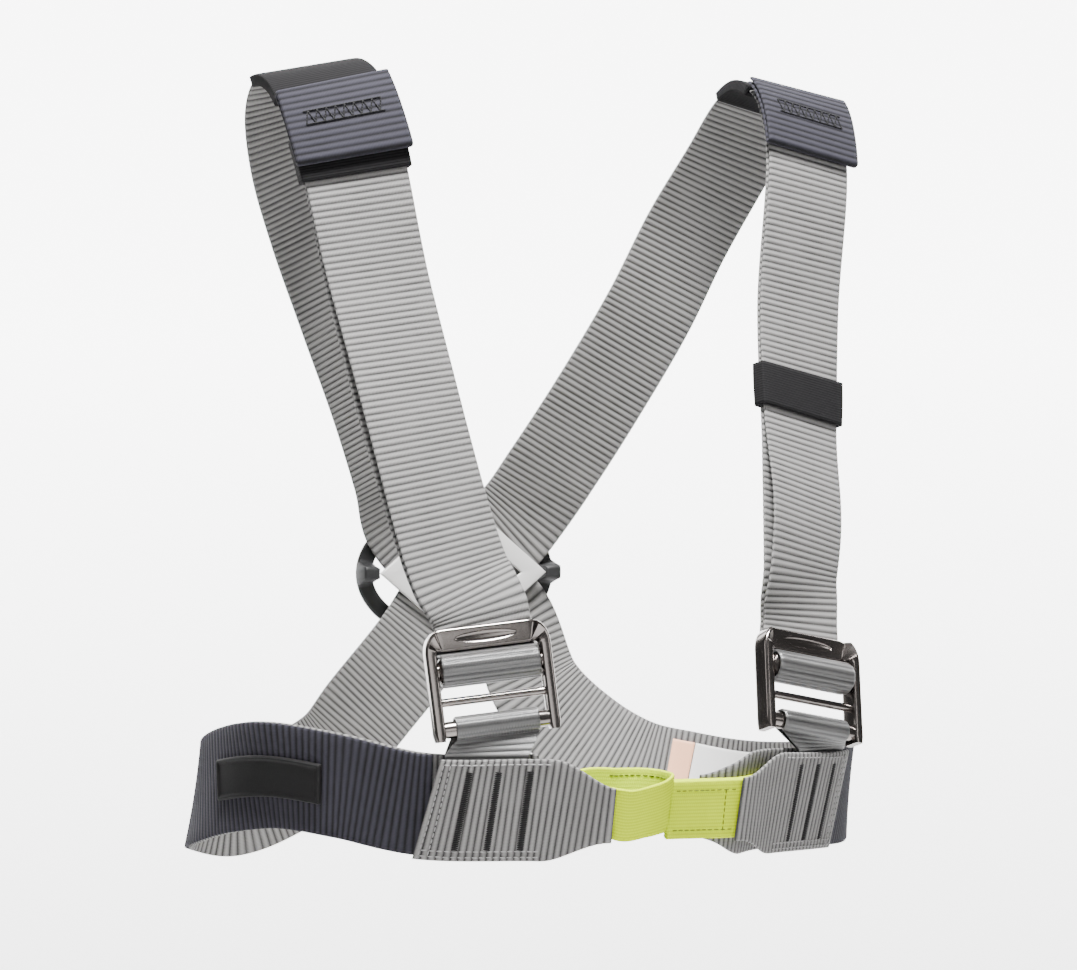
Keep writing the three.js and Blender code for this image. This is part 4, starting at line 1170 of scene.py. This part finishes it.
def relief(name, route, start, length, half, base, height, finish, face=1):
    """A thin plate on a route whose outer face rises by height(distance in, shift)."""
    d = np.linspace(0, length, max(8, int(length * 1.6)))
    u = np.linspace(-half, half, max(8, int(half * 3.6)))
    at, _, edge, out = route.frame(start + d)
    rise = height(d[:, None], u[None])
    flat = at[:, None] + edge[:, None] * u[None, :, None]
    top = flat + out[:, None] * (face * (base + rise))[..., None]
    bottom = flat + out[:, None] * face * base
    n, m = len(d), len(u)
    points = np.vstack([top.reshape(-1, 3), bottom.reshape(-1, 3)])
    faces = []
    for level in (0, n * m):
        faces += [
            (level + i * m + j, level + i * m + j + 1, level + (i + 1) * m + j + 1, level + (i + 1) * m + j)
            for i in range(n - 1) for j in range(m - 1)
        ]
    rim = [*range(m)] + [i * m + m - 1 for i in range(1, n)]
    rim += [(n - 1) * m + j for j in range(m - 2, -1, -1)] + [i * m for i in range(n - 2, 0, -1)]
    faces += [(a, b, b + n * m, a + n * m) for a, b in zip(rim, rim[1:] + rim[:1])]
    uv = np.stack(np.broadcast_arrays(u[None], d[:, None]), axis=-1).reshape(-1, 2)
    return mesh_object(name, points, faces, finish, np.vstack([uv, uv]))


def badge_height(d, u):
    inset = np.minimum(np.minimum(d, BADGE_LENGTH - d), BADGE_HALF - np.abs(u))
    rim = 1 - smoothstep(inset, BADGE_RIM - 0.4, BADGE_RIM + 0.3)
    edge = smoothstep(inset, -0.2, 0.5)
    return BADGE_THICK * (0.6 + 0.4 * edge) + BADGE_RISE * rim * edge


band = band_route("right")
badge_from = patch_end("right") + BADGE_FROM_PATCH
badge_base = LAYER + WEB_THICK / 2 + BADGE_SEAT
rubber = moulded("black rubber", (0.004, 0.0039, 0.0042), grain=0.00008, roughness=0.6, shine=0.22)
badge = relief(
    "rubber_badge", band, badge_from, BADGE_LENGTH, BADGE_HALF, badge_base, badge_height, rubber
)
keep(badge, "label_rubber", "rubber_label")


def satin(name, base):
    look = Finish(name)
    across, along = look.cloth_place()
    lengthways, crossways = ((way * (math.pi / SATIN_YARN)).math("SINE") for way in (along, across))
    weave = (lengthways * crossways).math("ABSOLUTE")
    fuzz = look.noise(1500, 3)
    # Painted shade: the colour is darker where the weave is low, between the yarns, and the fuzz varies it at
    # random.
    tone = look.mix(weave * 0.5 + fuzz * 0.4, tuple(0.86 * c for c in base), base)
    normal = look.bump(weave, 0.00004, 0.6)
    return look.done(Base_Color=tone, Roughness=0.4 + fuzz * 0.2, Normal=normal, Sheen_Weight=0.3)


def cloth_height(length):
    def height(d, u):
        inset = np.minimum(np.minimum(d, length - d), SATIN_HALF - np.abs(u))
        pucker = 0.1 * np.sin(d * 1.9) * np.exp(-np.maximum(inset, 0) / 2.5)
        return SATIN_THICK * (0.55 + 0.35 * smoothstep(inset, 0, 1)) + pucker

    return height


band = band_route("left")
strip_to = band.ring_at - SATIN_FROM_RING
label_from = strip_to - SATIN_STRIP - GAP - SATIN_LENGTH
inside = WEB_THICK / 2 + GAP
for name, start, length, finish, slot, node in (
    ("inner_label", label_from, SATIN_LENGTH, satin("white satin", (0.86, 0.85, 0.84)),
     "label_satin", "satin_label"),
    ("inner_label_end", strip_to - SATIN_STRIP, SATIN_STRIP, satin("salmon satin", (0.95, 0.5, 0.31)),
     "label_strip", "label_strip"),
):
    label = relief(name, band, start, length, SATIN_HALF, inside, cloth_height(length), finish, face=-1)
    keep(label, slot, node)

# Studio. The harness hangs as if worn, well above a floor of pale paper that bends up into a glowing wall.
# One soft lamp above and three weak ones around light it, seen from the photograph's angle.
CAMERA_TURN = math.radians(27)
CAMERA_AWAY = 1.8
CAMERA_HEIGHT = -0.172
LENS = 140.2
FLOOR = -1.1
SWEEP_RADIUS = 3.2
SWEEP_BEND = 1.1
SWEEP_TALL = 2.6
WALL_GLOW = 6
SWEEP_SPREAD = 52
FLOOR_REACH = 3000
FLOOR_UNDER = 1


def paper():
    look = Finish("white paper")
    place_in_room = look.node("ShaderNodeTexCoord", {}, {}, 3)
    height = look.node("ShaderNodeSeparateXYZ", {}, {"Vector": place_in_room}, 2)
    glow = ((height - FLOOR) / SWEEP_BEND).math("MINIMUM", 1.0).math("MAXIMUM", 0.0)
    light = look.mix(glow, (0.0, 0.0, 0.0), (1.0, 1.0, 1.0))
    return look.done(
        Base_Color=(0.84, 0.84, 0.84), Roughness=0.9, Emission_Color=light, Emission_Strength=WALL_GLOW
    )


def sweep_profile():
    bend = [
        (SWEEP_RADIUS - SWEEP_BEND * (1 - math.sin(a)), FLOOR + SWEEP_BEND * (1 - math.cos(a)))
        for a in np.radians(np.linspace(0, 90, 24))
    ]
    return [(0.0, FLOOR), *bend, (SWEEP_RADIUS, SWEEP_TALL)]


looking = Vector((math.sin(CAMERA_TURN), math.cos(CAMERA_TURN), 0))
profile = sweep_profile()
spokes = np.radians(np.linspace(-SWEEP_SPREAD, SWEEP_SPREAD, 33))
sweep_points = []
for spoke in spokes:
    bearing = math.pi / 2 - CAMERA_TURN + spoke
    east, north = math.cos(bearing) / MM, math.sin(bearing) / MM
    sweep_points += [(r * east, r * north, z / MM) for r, z in profile]
size = len(profile)
sweep_faces = [
    (i * size + j, i * size + j + 1, (i + 1) * size + j + 1, (i + 1) * size + j)
    for i in range(len(spokes) - 1) for j in range(size - 1)
]
floor_points = [(0, 0, FLOOR / MM)]
for bearing in np.radians(np.linspace(0, 360, 73)):
    east, north = FLOOR_REACH * math.cos(bearing), FLOOR_REACH * math.sin(bearing)
    floor_points.append((east, north, FLOOR / MM - FLOOR_UNDER))
paper_finish = paper()
wall = mesh_object("paper_sweep", sweep_points, sweep_faces, paper_finish)
floor_faces = [(0, i, i + 1) for i in range(1, 73)]
floor = mesh_object("studio_floor", floor_points, floor_faces, paper_finish)

world = bpy.data.worlds.new("studio")
bpy.context.scene.world = world
world.use_nodes = True
world.node_tree.nodes["Background"].inputs["Color"].default_value = (1, 1, 1, 1)
world.node_tree.nodes["Background"].inputs["Strength"].default_value = 0.1

for name, spot, wide, power in (
    ("light_above", (-0.25, -0.68, 1.5), 0.6, 200),
    ("light_front_right", (0.9, -1.7, 0.3), 0.7, 6),
    ("light_left", (-1.5, 0.1, 0.6), 0.6, 3),
    ("light_card", (-0.9, -2.2, -0.1), 1.2, 10),
):
    lamp = bpy.data.lights.new(name, "AREA")
    lamp.energy, lamp.size = power, wide
    light = in_scene(name, lamp)
    light.location = spot
    light.rotation_euler = (Vector((0, 0, -0.17)) - Vector(spot)).to_track_quat("-Z", "Y").to_euler()

camera_data = bpy.data.cameras.new("camera")
camera_data.lens, camera_data.sensor_width, camera_data.sensor_fit = LENS, 36, "HORIZONTAL"
camera = in_scene("camera", camera_data)
camera.location = Vector((0, 0, CAMERA_HEIGHT)) - looking * CAMERA_AWAY
camera.rotation_euler = looking.to_track_quat("-Z", "Y").to_euler()
bpy.context.scene.camera = camera

bpy.context.view_layer.update()
